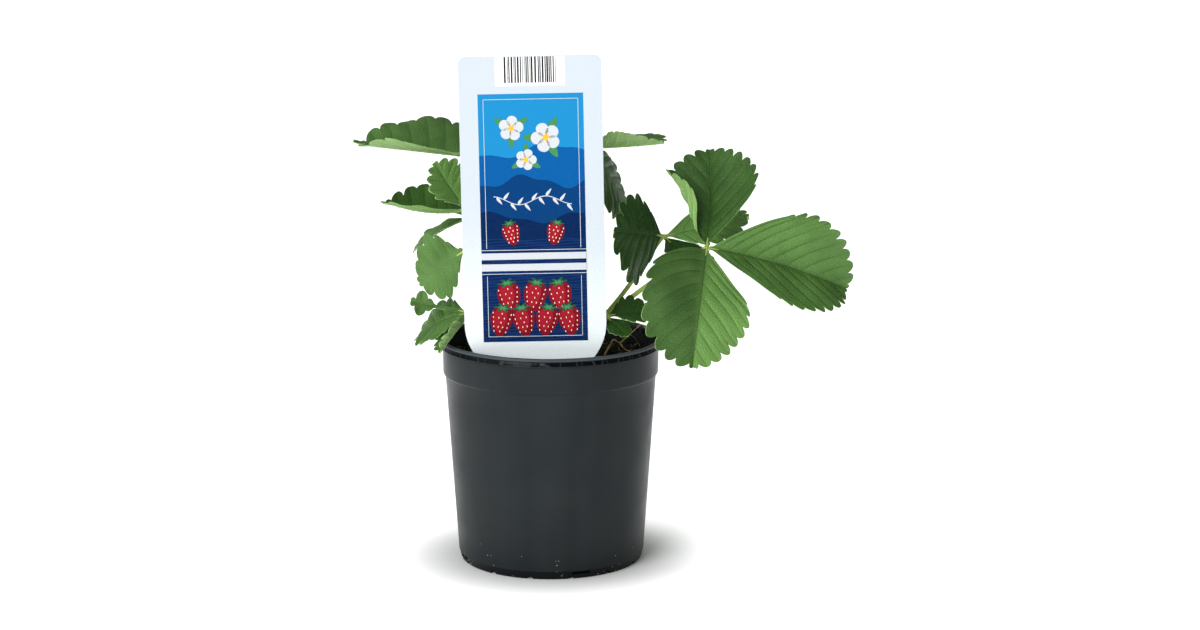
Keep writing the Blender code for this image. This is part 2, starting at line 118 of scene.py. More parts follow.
def rumple(points: Array, size: float, seed: int, waves: int = 14) -> Array:
    """Return smooth random heights of about -1 to 1: a sum of sines along random directions.

    Args:
        points: Positions along the last axis, in the unit of size.
        size: Typical distance between two humps.
        seed: Chooses the directions and phases.
        waves: How many sines are summed.

    Returns:
        One height for each position.
    """
    rng = np.random.default_rng(seed)
    ways = unit(rng.normal(size=(waves, points.shape[-1]))) * rng.uniform(0.6, 1.8, (waves, 1))
    phases = rng.uniform(0.0, 2.0 * np.pi, waves)
    return np.sin(points @ ways.T * (np.pi / size) + phases).sum(-1) / np.sqrt(waves)


def grid_faces(rows: int, columns: int, wrap: bool = False, flip: bool = False) -> Array:
    """Return the quads of a grid of points that are counted row by row.

    Args:
        rows: Number of rows.
        columns: Number of points in a row.
        wrap: Whether the last point of a row joins the first.
        flip: Whether faces look the other way; unflipped they face along row step x column step.

    Returns:
        An array of four point numbers per face.
    """
    row, column = np.meshgrid(np.arange(rows - 1), np.arange(columns if wrap else columns - 1), indexing="ij")
    first = (row * columns + column).ravel()
    beside = (row * columns + (column + 1) % columns).ravel()
    faces = np.stack([first, first + columns, beside + columns, beside], axis=1)
    return faces[:, ::-1] if flip else faces


def fan_faces(hub: int, ring: Array, flip: bool = False) -> Array:
    """Return the triangles from a hub to each side of a closed ring, turned over when flipped."""
    after = np.roll(ring, -1)
    pair = (after, ring) if flip else (ring, after)
    return np.stack([np.full(len(ring), hub), *pair], axis=1)


@dataclass
class Surface:
    """Collects points, faces, pattern coordinates and tints, and makes one mesh object of them."""

    points: list[Array] = field(default_factory=list)
    faces: list[Array] = field(default_factory=list)
    finishes: list[Array] = field(default_factory=list)
    patterns: list[Array] = field(default_factory=list)
    tints: list[Array] = field(default_factory=list)
    count: int = 0

    def add(
        self,
        points: Array,
        faces: Sequence[Array],
        finish: int | Array = 0,
        pattern: Array | None = None,
        tint: Colour | Array = (0.5, 0.5, 0.5),
    ) -> None:
        """Add points in millimetres and their faces.

        Args:
            points: Positions, three numbers each.
            faces: Arrays of point numbers, each of one face size.
            finish: Material number of the faces.
            pattern: Two pattern coordinates for each point.
            tint: Three numbers for each point, or for all of them.
        """
        points = np.reshape(points, (-1, 3))
        self.points.append(points * MM)
        for block in faces:
            self.faces.append(block + self.count)
            self.finishes.append(np.full(len(block), finish) if np.isscalar(finish) else finish)
        self.patterns.append(np.zeros((len(points), 2)) if pattern is None else np.reshape(pattern, (-1, 2)))
        self.tints.append(np.broadcast_to(np.asarray(tint, float), (len(points), 3)))
        self.count += len(points)

    def shell(
        self,
        top: Array,
        bottom: Array,
        tint: Colour | Array = (0.5, 0.5, 0.5),
        pattern: Array | None = None,
    ) -> None:
        """Add a closed thin shell between two grids of the same shape, with a rim all round.

        Args:
            top: Points of shape (rows, columns, 3); row step x column step points away from the bottom.
            bottom: The matching points under the top.
            tint: Three numbers for each point, or for all of them.
            pattern: Pattern coordinates of shape (rows, columns, 2). With them, all but the top gets finish 1.
        """
        rows, columns = top.shape[:2]
        size = rows * columns
        number = np.arange(size).reshape(rows, columns)
        loop = np.concatenate([number[0], number[1:, -1], number[-1, -2::-1], number[-2:0:-1, 0]])
        after = np.roll(loop, -1)
        rim = np.stack([loop, after, after + size, loop + size], axis=1)
        if np.ndim(tint) > 1:
            tint = np.concatenate([tint.reshape(-1, 3)] * 2)
        upper = grid_faces(rows, columns)
        lower = grid_faces(rows, columns, flip=True) + size
        finish = np.concatenate([np.zeros(len(upper), int), np.ones(len(lower) + len(rim), int)])
        if pattern is None:
            finish[:] = 0
        else:
            pattern = np.concatenate([pattern.reshape(-1, 2)] * 2)
        both = np.concatenate([top.reshape(-1, 3), bottom.reshape(-1, 3)])
        self.add(both, [np.concatenate([upper, lower, rim])], finish, pattern, tint)

    def plate(self, outline: Array, low: float, high: float, tint: Colour) -> None:
        """Add a closed flat plate: fans from the outline's middle above and below, and a wall between."""
        size = len(outline)
        centre = outline.mean(axis=0)
        flat = np.concatenate([outline, centre[None]])
        upper = np.column_stack([flat, np.full(size + 1, high)])
        lower = np.column_stack([flat, np.full(size + 1, low)])
        number = np.arange(size)
        after = np.roll(number, -1)
        fans = [fan_faces(size, number), fan_faces(size, number, flip=True) + size + 1]
        wall = np.stack([number + size + 1, after + size + 1, after, number], axis=1)
        self.add(np.concatenate([upper, lower]), fans + [wall], tint=tint)

    def tube(self, route: Array, radii: Array, sides: int, tint: Colour | Array = (0.5, 0.5, 0.5)) -> None:
        """Add a closed tube: a ring of each radius, square to the route at each of its points.

        Args:
            route: Points along the tube.
            radii: One radius for each point, or one for each point and side.
            sides: Number of points in a ring.
            tint: Three numbers for all points, or one row of them for each point of the route.
        """
        ahead = unit(np.gradient(route, axis=0))
        aside = np.cross(route[-1] - route[0], (0.31, 0.83, 0.47))
        aside = unit(aside - (ahead @ aside)[:, None] * ahead)
        third = np.cross(ahead, aside)
        turn = np.linspace(0.0, 2.0 * np.pi, sides, endpoint=False)
        radii = np.broadcast_to(np.asarray(radii, float).reshape(len(route), -1), (len(route), sides))
        ring = np.cos(turn)[None, :, None] * aside[:, None] + np.sin(turn)[None, :, None] * third[:, None]
        points = route[:, None] + ring * radii[:, :, None]
        size = points.shape[0] * sides
        both = np.concatenate([points.reshape(-1, 3), route[:1], route[-1:]])
        number = np.arange(sides)
        caps = [fan_faces(size, number, flip=True), fan_faces(size + 1, number + size - sides)]
        if np.ndim(tint) > 1:
            tint = np.concatenate([np.repeat(tint, sides, axis=0), tint[:1], tint[-1:]])
        self.add(both, [grid_faces(len(route), sides, wrap=True, flip=True)] + caps, tint=tint)

    def make(self, name: str, materials: Sequence[bpy.types.Material], sharp: float = 50.0) -> bpy.types.Object:
        """Make the object, shaded smooth except where faces meet at more than an angle.

        Args:
            name: Name of the object and its mesh.
            materials: One finish for each material number.
            sharp: The angle in degrees.

        Returns:
            The new object, at the origin.
        """
        mesh = bpy.data.meshes.new(name)
        faces = [face for block in self.faces for face in block.tolist()]
        mesh.from_pydata(np.concatenate(self.points).tolist(), [], faces)
        for material in materials:
            mesh.materials.append(material)
        mesh.polygons.foreach_set("material_index", np.concatenate(self.finishes).astype(np.int32))
        corners = np.empty(len(mesh.loops), np.int32)
        mesh.loops.foreach_get("vertex_index", corners)
        layer = mesh.uv_layers.new(name="pattern")
        layer.data.foreach_set("uv", np.concatenate(self.patterns)[corners].astype(np.float32).ravel())
        tints = np.concatenate(self.tints)
        tints = np.column_stack([tints, np.ones(len(tints))]).astype(np.float32)
        mesh.attributes.new("tint", "FLOAT_COLOR", "POINT").data.foreach_set("color", tints.ravel())
        mesh.update()
        mesh.shade_smooth()
        mesh.set_sharp_from_angle(angle=np.radians(sharp))
        thing = bpy.data.objects.new(name, mesh)
        bpy.context.scene.collection.objects.link(thing)
        return thing


def settle(piece: bpy.types.Object, slot: Slot, *nodes: str) -> None:
    """Let a finished piece ride on the plant's body, and hide the CAD nodes it stands for."""
    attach(piece, BODY)
    if nodes:
        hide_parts(*nodes)
    LOG.info("%s: %d faces", piece.name, len(piece.data.polygons))


# --- Finishes ---


class Recipe:
    """A material's node tree, with short calls for the nodes that the finishes share."""

    def __init__(self, name: str, **constants: float) -> None:
        """Start a material and set constants on its shader, such as Roughness."""
        self.material = bpy.data.materials.new(name)
        self.material.use_nodes = True
        self.tree = self.material.node_tree
        self.shader = self.tree.nodes["Principled BSDF"]
        for key, value in constants.items():
            self.shader.inputs[key.replace("_", " ")].default_value = value

    def feed(self, socket: Socket, value: Socket | float | Colour) -> None:
        """Link a socket to another, or set its value."""
        if isinstance(value, bpy.types.NodeSocket):
            self.tree.links.new(value, socket)
        elif isinstance(value, tuple) and len(socket.default_value) == 4:
            socket.default_value = (*value, 1.0)
        else:
            socket.default_value = value

    def node(self, kind: str, inputs: dict, output: int | str = 0, **settings: object) -> Socket:
        """Add a node.

        Args:
            kind: The node's type, without its prefix.
            inputs: Values or sockets by input name or number.
            output: The output wanted.
            **settings: The node's own settings.

        Returns:
            The output's socket.
        """
        made = self.tree.nodes.new("ShaderNode" + kind)
        for key, value in settings.items():
            setattr(made, key, value)
        for key, value in inputs.items():
            self.feed(made.inputs[key], value)
        return made.outputs[output]

    def space(self, space: Space) -> Socket:
        """Return the coordinates of a space."""
        return self.node("TexCoord", {}, space.value)

    def tint(self) -> tuple[Socket, Socket, Socket]:
        """Return the piece's tint as a colour, and its first and second number."""
        colour = self.node("Attribute", {}, "Color", attribute_name="tint")
        first = self.node("SeparateColor", {0: colour}, 0)
        return colour, first, first.node.outputs[1]

    def pair(self, vector: Socket) -> tuple[Socket, Socket]:
        """Return the first and second number of a vector."""
        first = self.node("SeparateXYZ", {0: vector})
        return first, first.node.outputs[1]

    def sums(self, operation: str, first: Socket | float, second: Socket | float = 0.5) -> Socket:
        """Return one sum of two values, such as MULTIPLY or MAXIMUM."""
        return self.node("Math", {0: first, 1: second}, operation=operation)

    def noise(self, place: Socket, scale: float, detail: float = 2.0) -> Socket:
        """Return smooth noise of 0 to 1."""
        return self.node("TexNoise", {"Vector": place, "Scale": scale, "Detail": detail})

    def cells(self, place: Socket, scale: float, feature: str = "DISTANCE_TO_EDGE") -> Socket:
        """Return the distance in a pattern of cells."""
        return self.node("TexVoronoi", {"Vector": place, "Scale": scale}, "Distance", feature=feature)

    def remap(self, value: Socket, low: float, high: float, start: float = 0.0, end: float = 1.0) -> Socket:
        """Turn the range low to high smoothly into start to end."""
        inputs = {0: value, 1: low, 2: high, 3: start, 4: end}
        return self.node("MapRange", inputs, interpolation_type="SMOOTHSTEP")

    def mix(self, share: Socket | float, first: Socket | Colour, second: Socket | Colour) -> Socket:
        """Blend two colours."""
        return self.node("Mix", {0: share, 6: first, 7: second}, 2, data_type="RGBA")

    def finish(self, colour: Socket, roughness: Socket | None, bumps: Sequence[tuple[Socket, float]]) -> None:
        """Feed the shader: colour, roughness, and height patterns with their depths in millimetres."""
        self.feed(self.shader.inputs["Base Color"], colour)
        if roughness is not None:
            self.feed(self.shader.inputs["Roughness"], roughness)
        normal = None
        for height, depth in bumps:
            inputs = {"Height": height, "Distance": depth * MM}
            if normal is not None:
                inputs["Normal"] = normal
            normal = self.node("Bump", inputs)
        if normal is not None:
            self.feed(self.shader.inputs["Normal"], normal)


@dataclass(frozen=True)
class LeafFinish:
    """One side of a leaf: green, with veins and a net of fine veins between them; underneath the veins are
    lighter, on top they are painted shade.
    """

    name: str
    dark: Colour
    light: Colour
    groove: Colour
    vein: Colour
    vein_share: float
    net_share: float
    net_depth: float
    roughness: float
    sheen: float

    def material(self) -> bpy.types.Material:
        """Return the material; the pattern's U runs across the blade and its V counts the side veins."""
        recipe = Recipe(self.name, Specular_IOR_Level=0.2, Sheen_Weight=self.sheen, Sheen_Roughness=0.4)
        place = recipe.space(Space.OBJECT)
        across, count = recipe.pair(recipe.space(Space.PATTERN))
        signed = recipe.node("Math", {0: across, 1: 2.0, 2: -1.0}, operation="MULTIPLY_ADD")
        spread = recipe.sums("ABSOLUTE", signed)
        phase = recipe.sums("ABSOLUTE", recipe.sums("SUBTRACT", recipe.sums("FRACT", count), 0.5))
        side = recipe.remap(phase, 0.01, 0.045, 1.0, 0.0)
        side = recipe.sums("MULTIPLY", side, recipe.remap(spread, 0.55, 1.0, 1.0, 0.35))
        side = recipe.sums("MULTIPLY", side, recipe.remap(count, -0.1, 0.3))
        middle = recipe.remap(spread, 0.006, 0.022, 1.0, 0.0)
        veins = recipe.sums("MAXIMUM", side, middle)
        cell = recipe.cells(place, 640.0)
        net = recipe.remap(cell, 0.02, 0.16, 1.0, 0.0)
        tone, pale = recipe.tint()[1:3]
        # On the upper side the groove colour is painted shade in the sunken veins; the pale tint mixes in the
        # veins' own lighter colour.
        vein = recipe.mix(pale, self.groove, self.vein)
        patches = recipe.noise(place, 42.0, 4.0)
        # The tint's tone, partly painted light and shade, sets how light the green is.
        share = recipe.sums("ADD", recipe.sums("MULTIPLY", patches, 0.4), recipe.sums("MULTIPLY", tone, 0.9))
        share = recipe.remap(share, 0.25, 1.05)
        colour = recipe.mix(share, self.dark, self.light)
        colour = recipe.mix(recipe.sums("MULTIPLY", net, self.net_share), colour, vein)
        colour = recipe.mix(recipe.sums("MULTIPLY", veins, self.vein_share), colour, vein)
        blotches = recipe.noise(place, 160.0)
        rough = recipe.remap(blotches, 0.3, 0.7, self.roughness - 0.06, self.roughness + 0.07)
        height = recipe.remap(cell, 0.0, 0.24)
        recipe.finish(colour, rough, [(height, self.net_depth), (recipe.noise(place, 1900.0, 3.0), 0.06)])
        return recipe.material


@dataclass(frozen=True)
class PlasticFinish:
    """Satin nursery-pot plastic: faint mottling, pale specks of soil, a polished band, painted shade low down
    and on the band, and painted highlights on its ribs and lip.
    """

    name: str
    dark: Colour
    light: Colour
    dust: Colour
    # Painted shade colour: towards the bottom, on the foot and on the band under the lip.
    deep: Colour
    # Painted highlight colour, for the band's ribs and the lip's rounded top.
    painted_highlight: Colour
    band: tuple[float, float]
    roughness: float

    def material(self) -> bpy.types.Material:
        """Return the material."""
        recipe = Recipe(self.name, Specular_IOR_Level=0.08)
        place = recipe.space(Space.OBJECT)
        height = recipe.node("SeparateXYZ", {0: place}, 2)
        streaks = recipe.node("Mapping", {"Vector": place, "Scale": (1.0, 1.0, 0.06)})
        share = recipe.remap(recipe.noise(streaks, 60.0, 3.0), 0.3, 0.7)
        colour = recipe.mix(share, self.dark, self.light)
        specks = recipe.remap(recipe.cells(place, 420.0, "F1"), 0.1, 0.16, 1.0, 0.0)
        rare = recipe.remap(recipe.noise(place, 90.0), 0.52, 0.58)
        low = recipe.remap(height, 0.004, 0.02, 1.0, 0.0)
        specks = recipe.sums("MULTIPLY", recipe.sums("MULTIPLY", specks, rare), low)
        film = recipe.sums("MULTIPLY", recipe.noise(place, 35.0, 5.0), 0.03)
        colour = recipe.mix(recipe.sums("MAXIMUM", specks, film), colour, self.dust)
        # Painted shade: the plastic's colour darkens towards the pot's bottom.
        shade = recipe.remap(height, 0.0, 0.05, 0.2, 0.0)
        colour = recipe.mix(shade, colour, self.deep)
        # Painted shade: the foot under the body's bottom step, below about 4.5 mm, is darkened further.
        foot = recipe.remap(height, 0.0043, 0.0049, 0.8, 0.0)
        colour = recipe.mix(foot, colour, self.deep)
        colour = recipe.mix(specks, colour, self.dust)
        # The band under the lip: darkened in colour, which is painted shade under the bead, and less rough, as
        # polished plastic.
        over = recipe.remap(height, self.band[0], self.band[0] + 0.0003)
        under = recipe.remap(height, self.band[1] - 0.0003, self.band[1], 1.0, 0.0)
        band = recipe.sums("MULTIPLY", over, under)
        colour = recipe.mix(band, colour, self.deep)
        # Painted highlight: thin upright lines across the band, where its ribs catch the light.
        flat = recipe.node("Mapping", {"Vector": place, "Scale": (1.0, 1.0, 0.0)})
        ribs = recipe.remap(recipe.cells(flat, 105.0), 0.0, 0.03, 0.5, 0.0)
        colour = recipe.mix(recipe.sums("MULTIPLY", band, ribs), colour, self.painted_highlight)
        # Painted highlight: the lip's rounded top, above the band, is made lighter.
        edge = recipe.remap(height, self.band[1] + 0.0002, self.band[1] + 0.0006)
        colour = recipe.mix(edge, colour, self.painted_highlight)
        blotches = recipe.noise(place, 45.0, 5.0)
        rough = recipe.remap(blotches, 0.3, 0.7, self.roughness - 0.05, self.roughness + 0.08)
        rough = recipe.sums("SUBTRACT", rough, recipe.sums("MULTIPLY", band, 0.14))
        recipe.finish(colour, rough, [(recipe.noise(place, 1500.0, 2.0), 0.02), (specks, 0.2)])
        return recipe.material


@dataclass(frozen=True)
class GrainFinish:
    """A grained finish: two colours mottled by noise, brightened or darkened by the piece's tint."""

    name: str
    dark: Colour
    light: Colour
    scale: float
    roughness: float
    depth: float
    stretch: Colour = (1.0, 1.0, 1.0)
    tint_share: float = 0.0
    specular: float = 0.3
    sheen: float = 0.0

    def material(self) -> bpy.types.Material:
        """Return the material."""
        recipe = Recipe(self.name, Specular_IOR_Level=self.specular, Sheen_Weight=self.sheen)
        place = recipe.node("Mapping", {"Vector": recipe.space(Space.OBJECT), "Scale": self.stretch})
        grain = recipe.noise(place, self.scale, 5.0)
        tone = recipe.sums("MULTIPLY", recipe.tint()[1], self.tint_share)
        share = recipe.remap(recipe.sums("ADD", grain, tone), 0.35, 0.65 + self.tint_share)
        colour = recipe.mix(share, self.dark, self.light)
        blotches = recipe.noise(place, self.scale * 0.4)
        rough = recipe.remap(blotches, 0.3, 0.7, self.roughness - 0.05, self.roughness + 0.05)
        recipe.finish(colour, rough, [(recipe.noise(place, self.scale * 2.0, 4.0), self.depth)])
        return recipe.material


@dataclass(frozen=True)
class InkFinish:
    """Offset print: the tint is the ink's colour, with a fine paper grain in it."""

    name: str
    roughness: float

    def material(self) -> bpy.types.Material:
        """Return the material."""
        recipe = Recipe(self.name, Specular_IOR_Level=0.04)
        place = recipe.space(Space.OBJECT)
        ink = recipe.tint()[0]
        grain = recipe.remap(recipe.noise(place, 900.0, 3.0), 0.3, 0.7, 0.0, 0.004)
        colour = recipe.mix(grain, ink, (0.75, 0.8, 0.85))
        blotches = recipe.noise(place, 120.0)
        rough = recipe.remap(blotches, 0.3, 0.7, self.roughness - 0.04, self.roughness + 0.04)
        recipe.finish(colour, rough, [(recipe.noise(place, 1400.0), 0.01)])
        return recipe.material


@dataclass(frozen=True)
class FloorFinish:
    """The pale studio floor, with a painted glow that keeps it white away from the pot and fades to none close
    to it.
    """

    name: str
    dark: Colour
    light: Colour
    glow: float
    reach: tuple[float, float]

    def material(self) -> bpy.types.Material:
        """Return the material."""
        recipe = Recipe(self.name, Specular_IOR_Level=0.05, Roughness=0.85)
        place = recipe.space(Space.OBJECT)
        away = recipe.node("VectorMath", {0: place}, "Value", operation="LENGTH")
        # Painted light: the floor glows, from none inside the first reach to the full glow beyond the second.
        recipe.feed(recipe.shader.inputs["Emission Strength"], recipe.remap(away, *self.reach, 0.0, self.glow))
        colour = recipe.mix(recipe.noise(place, 40.0, 3.0), self.dark, self.light)
        recipe.finish(colour, None, [])
        return recipe.material


# The upper side's groove colour, (0.014, 0.045, 0.007), is painted shade in its sunken veins.
UPPER_LEAF = LeafFinish(
    "leaf_upper", (0.015, 0.056, 0.006), (0.17, 0.355, 0.082), (0.014, 0.045, 0.007), (0.34, 0.5, 0.17),
    0.6, 0.08, 0.16, 0.42, 0.0,
)
LOWER_LEAF = LeafFinish(
    "leaf_lower", (0.16, 0.31, 0.075), (0.4, 0.62, 0.25), (0.4, 0.58, 0.22), (0.5, 0.66, 0.3),
    0.45, 0.25, -0.12, 0.62, 0.06,
)
# The deep colour, (0.0025, 0.003, 0.004), is painted shade; the colour after it, (0.055, 0.066, 0.077), is a
# painted highlight.
PLASTIC = PlasticFinish(
    "pot_plastic", (0.0105, 0.0145, 0.017), (0.0135, 0.0185, 0.0215), (0.36, 0.33, 0.27),
    (0.0025, 0.003, 0.004), (0.055, 0.066, 0.077), (0.1181, 0.1205), 0.34,
)
SOIL = GrainFinish("soil", (0.006, 0.004, 0.003), (0.035, 0.022, 0.014), 420.0, 0.92, 0.5, tint_share=0.6)
# The card's tint, lighter towards its foot, is painted light.
CARD = GrainFinish(
    "card", (0.58, 0.635, 0.69), (0.92, 0.98, 1.0), 4000.0, 0.34, 0.01, tint_share=0.6, specular=0.15,
)
CROWN = GrainFinish(
    "crown_scales", (0.09, 0.05, 0.025), (0.3, 0.24, 0.1), 260.0, 0.7, 0.2, (1.0, 1.0, 0.2), 0.6,
)
STALK = GrainFinish(
    "stalk", (0.17, 0.27, 0.055), (0.4, 0.5, 0.12), 150.0, 0.48, 0.05, (1.0, 1.0, 0.3), 0.3, sheen=0.05,
)
FIBRE = GrainFinish("fibre", (0.06, 0.032, 0.016), (0.72, 0.47, 0.28), 500.0, 0.75, 0.06, tint_share=0.9)
FLOOR = FloorFinish("floor", (0.87, 0.87, 0.87), (0.88, 0.88, 0.88), 0.8, (0.045, 0.1))
INK = InkFinish("ink", 0.36)


# --- Pot ---


@dataclass
class Pot:
    """The nursery pot: a turned shell with a rounded lip, a banded collar, a stepped body and drain holes."""

    height: float = 122.5
    lip: float = 60.0
    bead: float = 1.1
    band_foot: float = 117.9
    collar: float = 58.5
    collar_foot: float = 103.0
    step: float = 1.4
    foot_radius: float = 50.6
    wall: float = 1.2
    floor: float = 1.6
    channel: tuple[float, float, float] = (35.0, 44.0, 3.0)
    lip_land: float = 2.2
    foot_ring: tuple[float, float] = (46.0, 48.6)
    disc: float = 33.0
    steps: int = 320
    panels: int = 46
    drain_slots: int = 8
    drain_slot: tuple[float, float, float] = (6.0, 3.2, 8.0)
    arches: int = 14
    arch: tuple[float, float, float] = (9.0, 3.8, 3.8)
    wall_slots: int = 4
    wall_slot: tuple[float, float, float] = (6.0, 10.0, 1.6)
    wall_slot_height: float = 3.4
    wall_slot_turn: float = -np.pi / 2 + 0.34

    def profile(self) -> Array:
        """Return the closed section as (radius, height): down the outside, under the base, up the inside."""
        turn = np.radians(np.linspace(90.0, -20.0, 8))
        centre = (self.lip - self.bead, self.height - self.bead)
        bead = np.column_stack([centre[0] + self.bead * np.cos(turn), centre[1] + self.bead * np.sin(turn)])
        under = self.collar - self.step
        inner, outer, rise = self.channel
        deck = rise + self.floor
        inside = self.lip - self.lip_land
        ring_inner, ring_outer = self.foot_ring
        wall_foot = np.array([self.foot_radius, 5.0])
        wall_top = np.array([under, self.collar_foot - 0.7])
        share = np.linspace(0.0, 1.0, 9)[:, None]
        body = wall_top + (wall_foot - wall_top) * share
        rest = [
            (self.lip - 0.5, self.height - 1.9),
            (self.lip - 0.95, self.height - 2.2),
            (self.lip - 0.5, self.band_foot + 0.7),
            (self.lip - 0.22, self.band_foot + 0.3),
            (self.lip - 0.3, self.band_foot),
            (self.lip - 0.8, self.band_foot - 0.3),
            (self.collar, self.band_foot - 0.7),
            (self.collar - 0.02, self.band_foot - 1.4),
            (self.collar - 0.18, self.collar_foot + 1.3),
            (self.collar - 0.24, self.collar_foot + 0.7),
            (self.collar - 0.5, self.collar_foot + 0.2),
            (under + 0.3, self.collar_foot - 0.2),
        ]
        base = [
            (self.foot_radius - 0.12, 4.6),
            (self.foot_radius - 0.35, 4.3),
            (self.foot_radius - 0.9, 1.6),
            (self.foot_radius - 1.3, 0.5),
            (ring_outer, 0.0),
            (ring_inner, 0.0),
            (45.8, 0.3),
            (outer, rise),
            (inner, rise),
            (self.disc, 0.0),
            (20.0, 0.0),
            (0.0, 0.0),
            (0.0, self.floor),
            (32.2, self.floor),
            (inner - 0.6, deck),
            (self.foot_radius - self.wall - 1.0, deck),
            (self.foot_radius - self.wall, deck + 1.0),
            (under - self.wall, self.collar_foot + 0.2),
            (self.collar - 0.2 - self.wall, self.collar_foot + 1.6),
            (inside, self.height - 1.0),
            (inside + 0.25, self.height - 0.35),
            (inside + 0.7, self.height - 0.04),
        ]
        return np.concatenate([bead, rest, body, base])

    def shell(self) -> Surface:
        """Turn the section about Z, with flat panels and thin ribs round the band under the lip.

        A point of the section (radius, height) goes to (radius * cos, radius * sin, height). In the band, the
        radius shrinks by a small amount of each panel's own and grows at the ribs between panels.
        """
        profile = self.profile()
        on_axis = profile[:, 0] < 0.01
        turn = np.linspace(0.0, 2.0 * np.pi, self.steps, endpoint=False)
        rng = np.random.default_rng(7)
        edges = np.sort(rng.choice(self.steps, self.panels, replace=False))
        panel = np.searchsorted(edges, np.arange(self.steps)) % len(edges)
        sink = rng.uniform(0.0, 0.3, len(edges))[panel]
        rib = np.isin(np.arange(self.steps), edges) * rng.uniform(0.08, 0.26, self.steps)
        in_band = ease(profile[:, 1], self.band_foot - 0.2, self.band_foot + 0.6)
        in_band *= 1.0 - ease(profile[:, 1], self.height - 2.2, self.height - 1.6)
        in_band[len(profile) // 2 :] = 0.0
        radius = profile[:, :1] + in_band[:, None] * (rib - sink)
        heights = np.repeat(profile[:, 1:], self.steps, axis=1)
        points = np.stack([radius * np.cos(turn), radius * np.sin(turn), heights], axis=-1)
        keep = ~on_axis
        shell = Surface()
        rows = points[keep]
        size = rows.shape[0] * self.steps
        split = int(np.argmax(on_axis))
        first = grid_faces(split, self.steps, wrap=True)
        second = grid_faces(rows.shape[0] - split, self.steps, wrap=True) + split * self.steps
        number = np.arange(self.steps)
        after = (number + 1) % self.steps
        last = size - self.steps
        closing = np.stack([number + last, number, after, after + last], axis=1)
        under = (split - 1) * self.steps
        over = split * self.steps
        fans = [fan_faces(size, number + under, flip=True), fan_faces(size + 1, number + over)]
        poles = np.array([[0.0, 0.0, 0.0], [0.0, 0.0, self.floor]])
        shell.add(np.concatenate([rows.reshape(-1, 3), poles]), [first, second, closing] + fans)
        return shell

    def cutters(self) -> Surface:
        """Return closed blocks and arches where the drain slots, foot arches and wall slots go."""
        tools = Surface()
        inner, outer, rise = self.channel
        deck, ring = rise + self.floor / 2, sum(self.foot_ring) / 2
        jobs = [
            (self.drain_slots, 0.5, 0.0, (inner + outer) / 2, deck, self.drain_slot, 4),
            (self.arches, 0.0, 0.0, ring, 0.0, self.arch, 24),
            (
                self.wall_slots, 0.0, self.wall_slot_turn,
                self.foot_radius, self.wall_slot_height, self.wall_slot, 4,
            ),
        ]
        for count, shift, start, radius, height, (deep, wide, tall), sides in jobs:
            round_it = np.linspace(0.0, 2.0 * np.pi, sides, endpoint=False) + np.pi / 4
            grow = np.sqrt(2.0) if sides == 4 else 1.0
            section = np.column_stack([np.cos(round_it) * wide / 2 * grow, np.sin(round_it) * tall / 2 * grow])
            for index in range(count):
                turn = start + 2.0 * np.pi * (index + shift) / count
                way = np.array([np.cos(turn), np.sin(turn), 0.0])
                across = np.array([-way[1], way[0], 0.0])
                ring = section[:, :1] * across + section[:, 1:] * np.array([0.0, 0.0, 1.0])
                ends = way * radius + np.array([0.0, 0.0, height]) + np.outer((-deep / 2, deep / 2), way)
                points = ends[:, None] + ring[None]
                number = np.arange(sides)
                tools.add(
                    points,
                    [grid_faces(2, sides, wrap=True, flip=True), number[None, ::-1], number[None] + sides],
                )
        return tools

    def build(self) -> None:
        """Turn the shell, cut its holes and dress it."""
        material = PLASTIC.material()
        pot = self.shell().make("pot_shell", [material])
        tools = self.cutters().make("cutters", [material])
        cut = pot.modifiers.new("holes", "BOOLEAN")
        cut.object = tools
        cut.solver = "EXACT"
        graph = bpy.context.evaluated_depsgraph_get()
        mesh = bpy.data.meshes.new_from_object(pot.evaluated_get(graph))
        pot.modifiers.clear()
        pot.data = mesh
        mesh.shade_smooth()
        mesh.set_sharp_from_angle(angle=np.radians(32.0))
        bpy.data.objects.remove(tools)
        settle(pot, Slot.POT, "pot")


# --- Soil ---


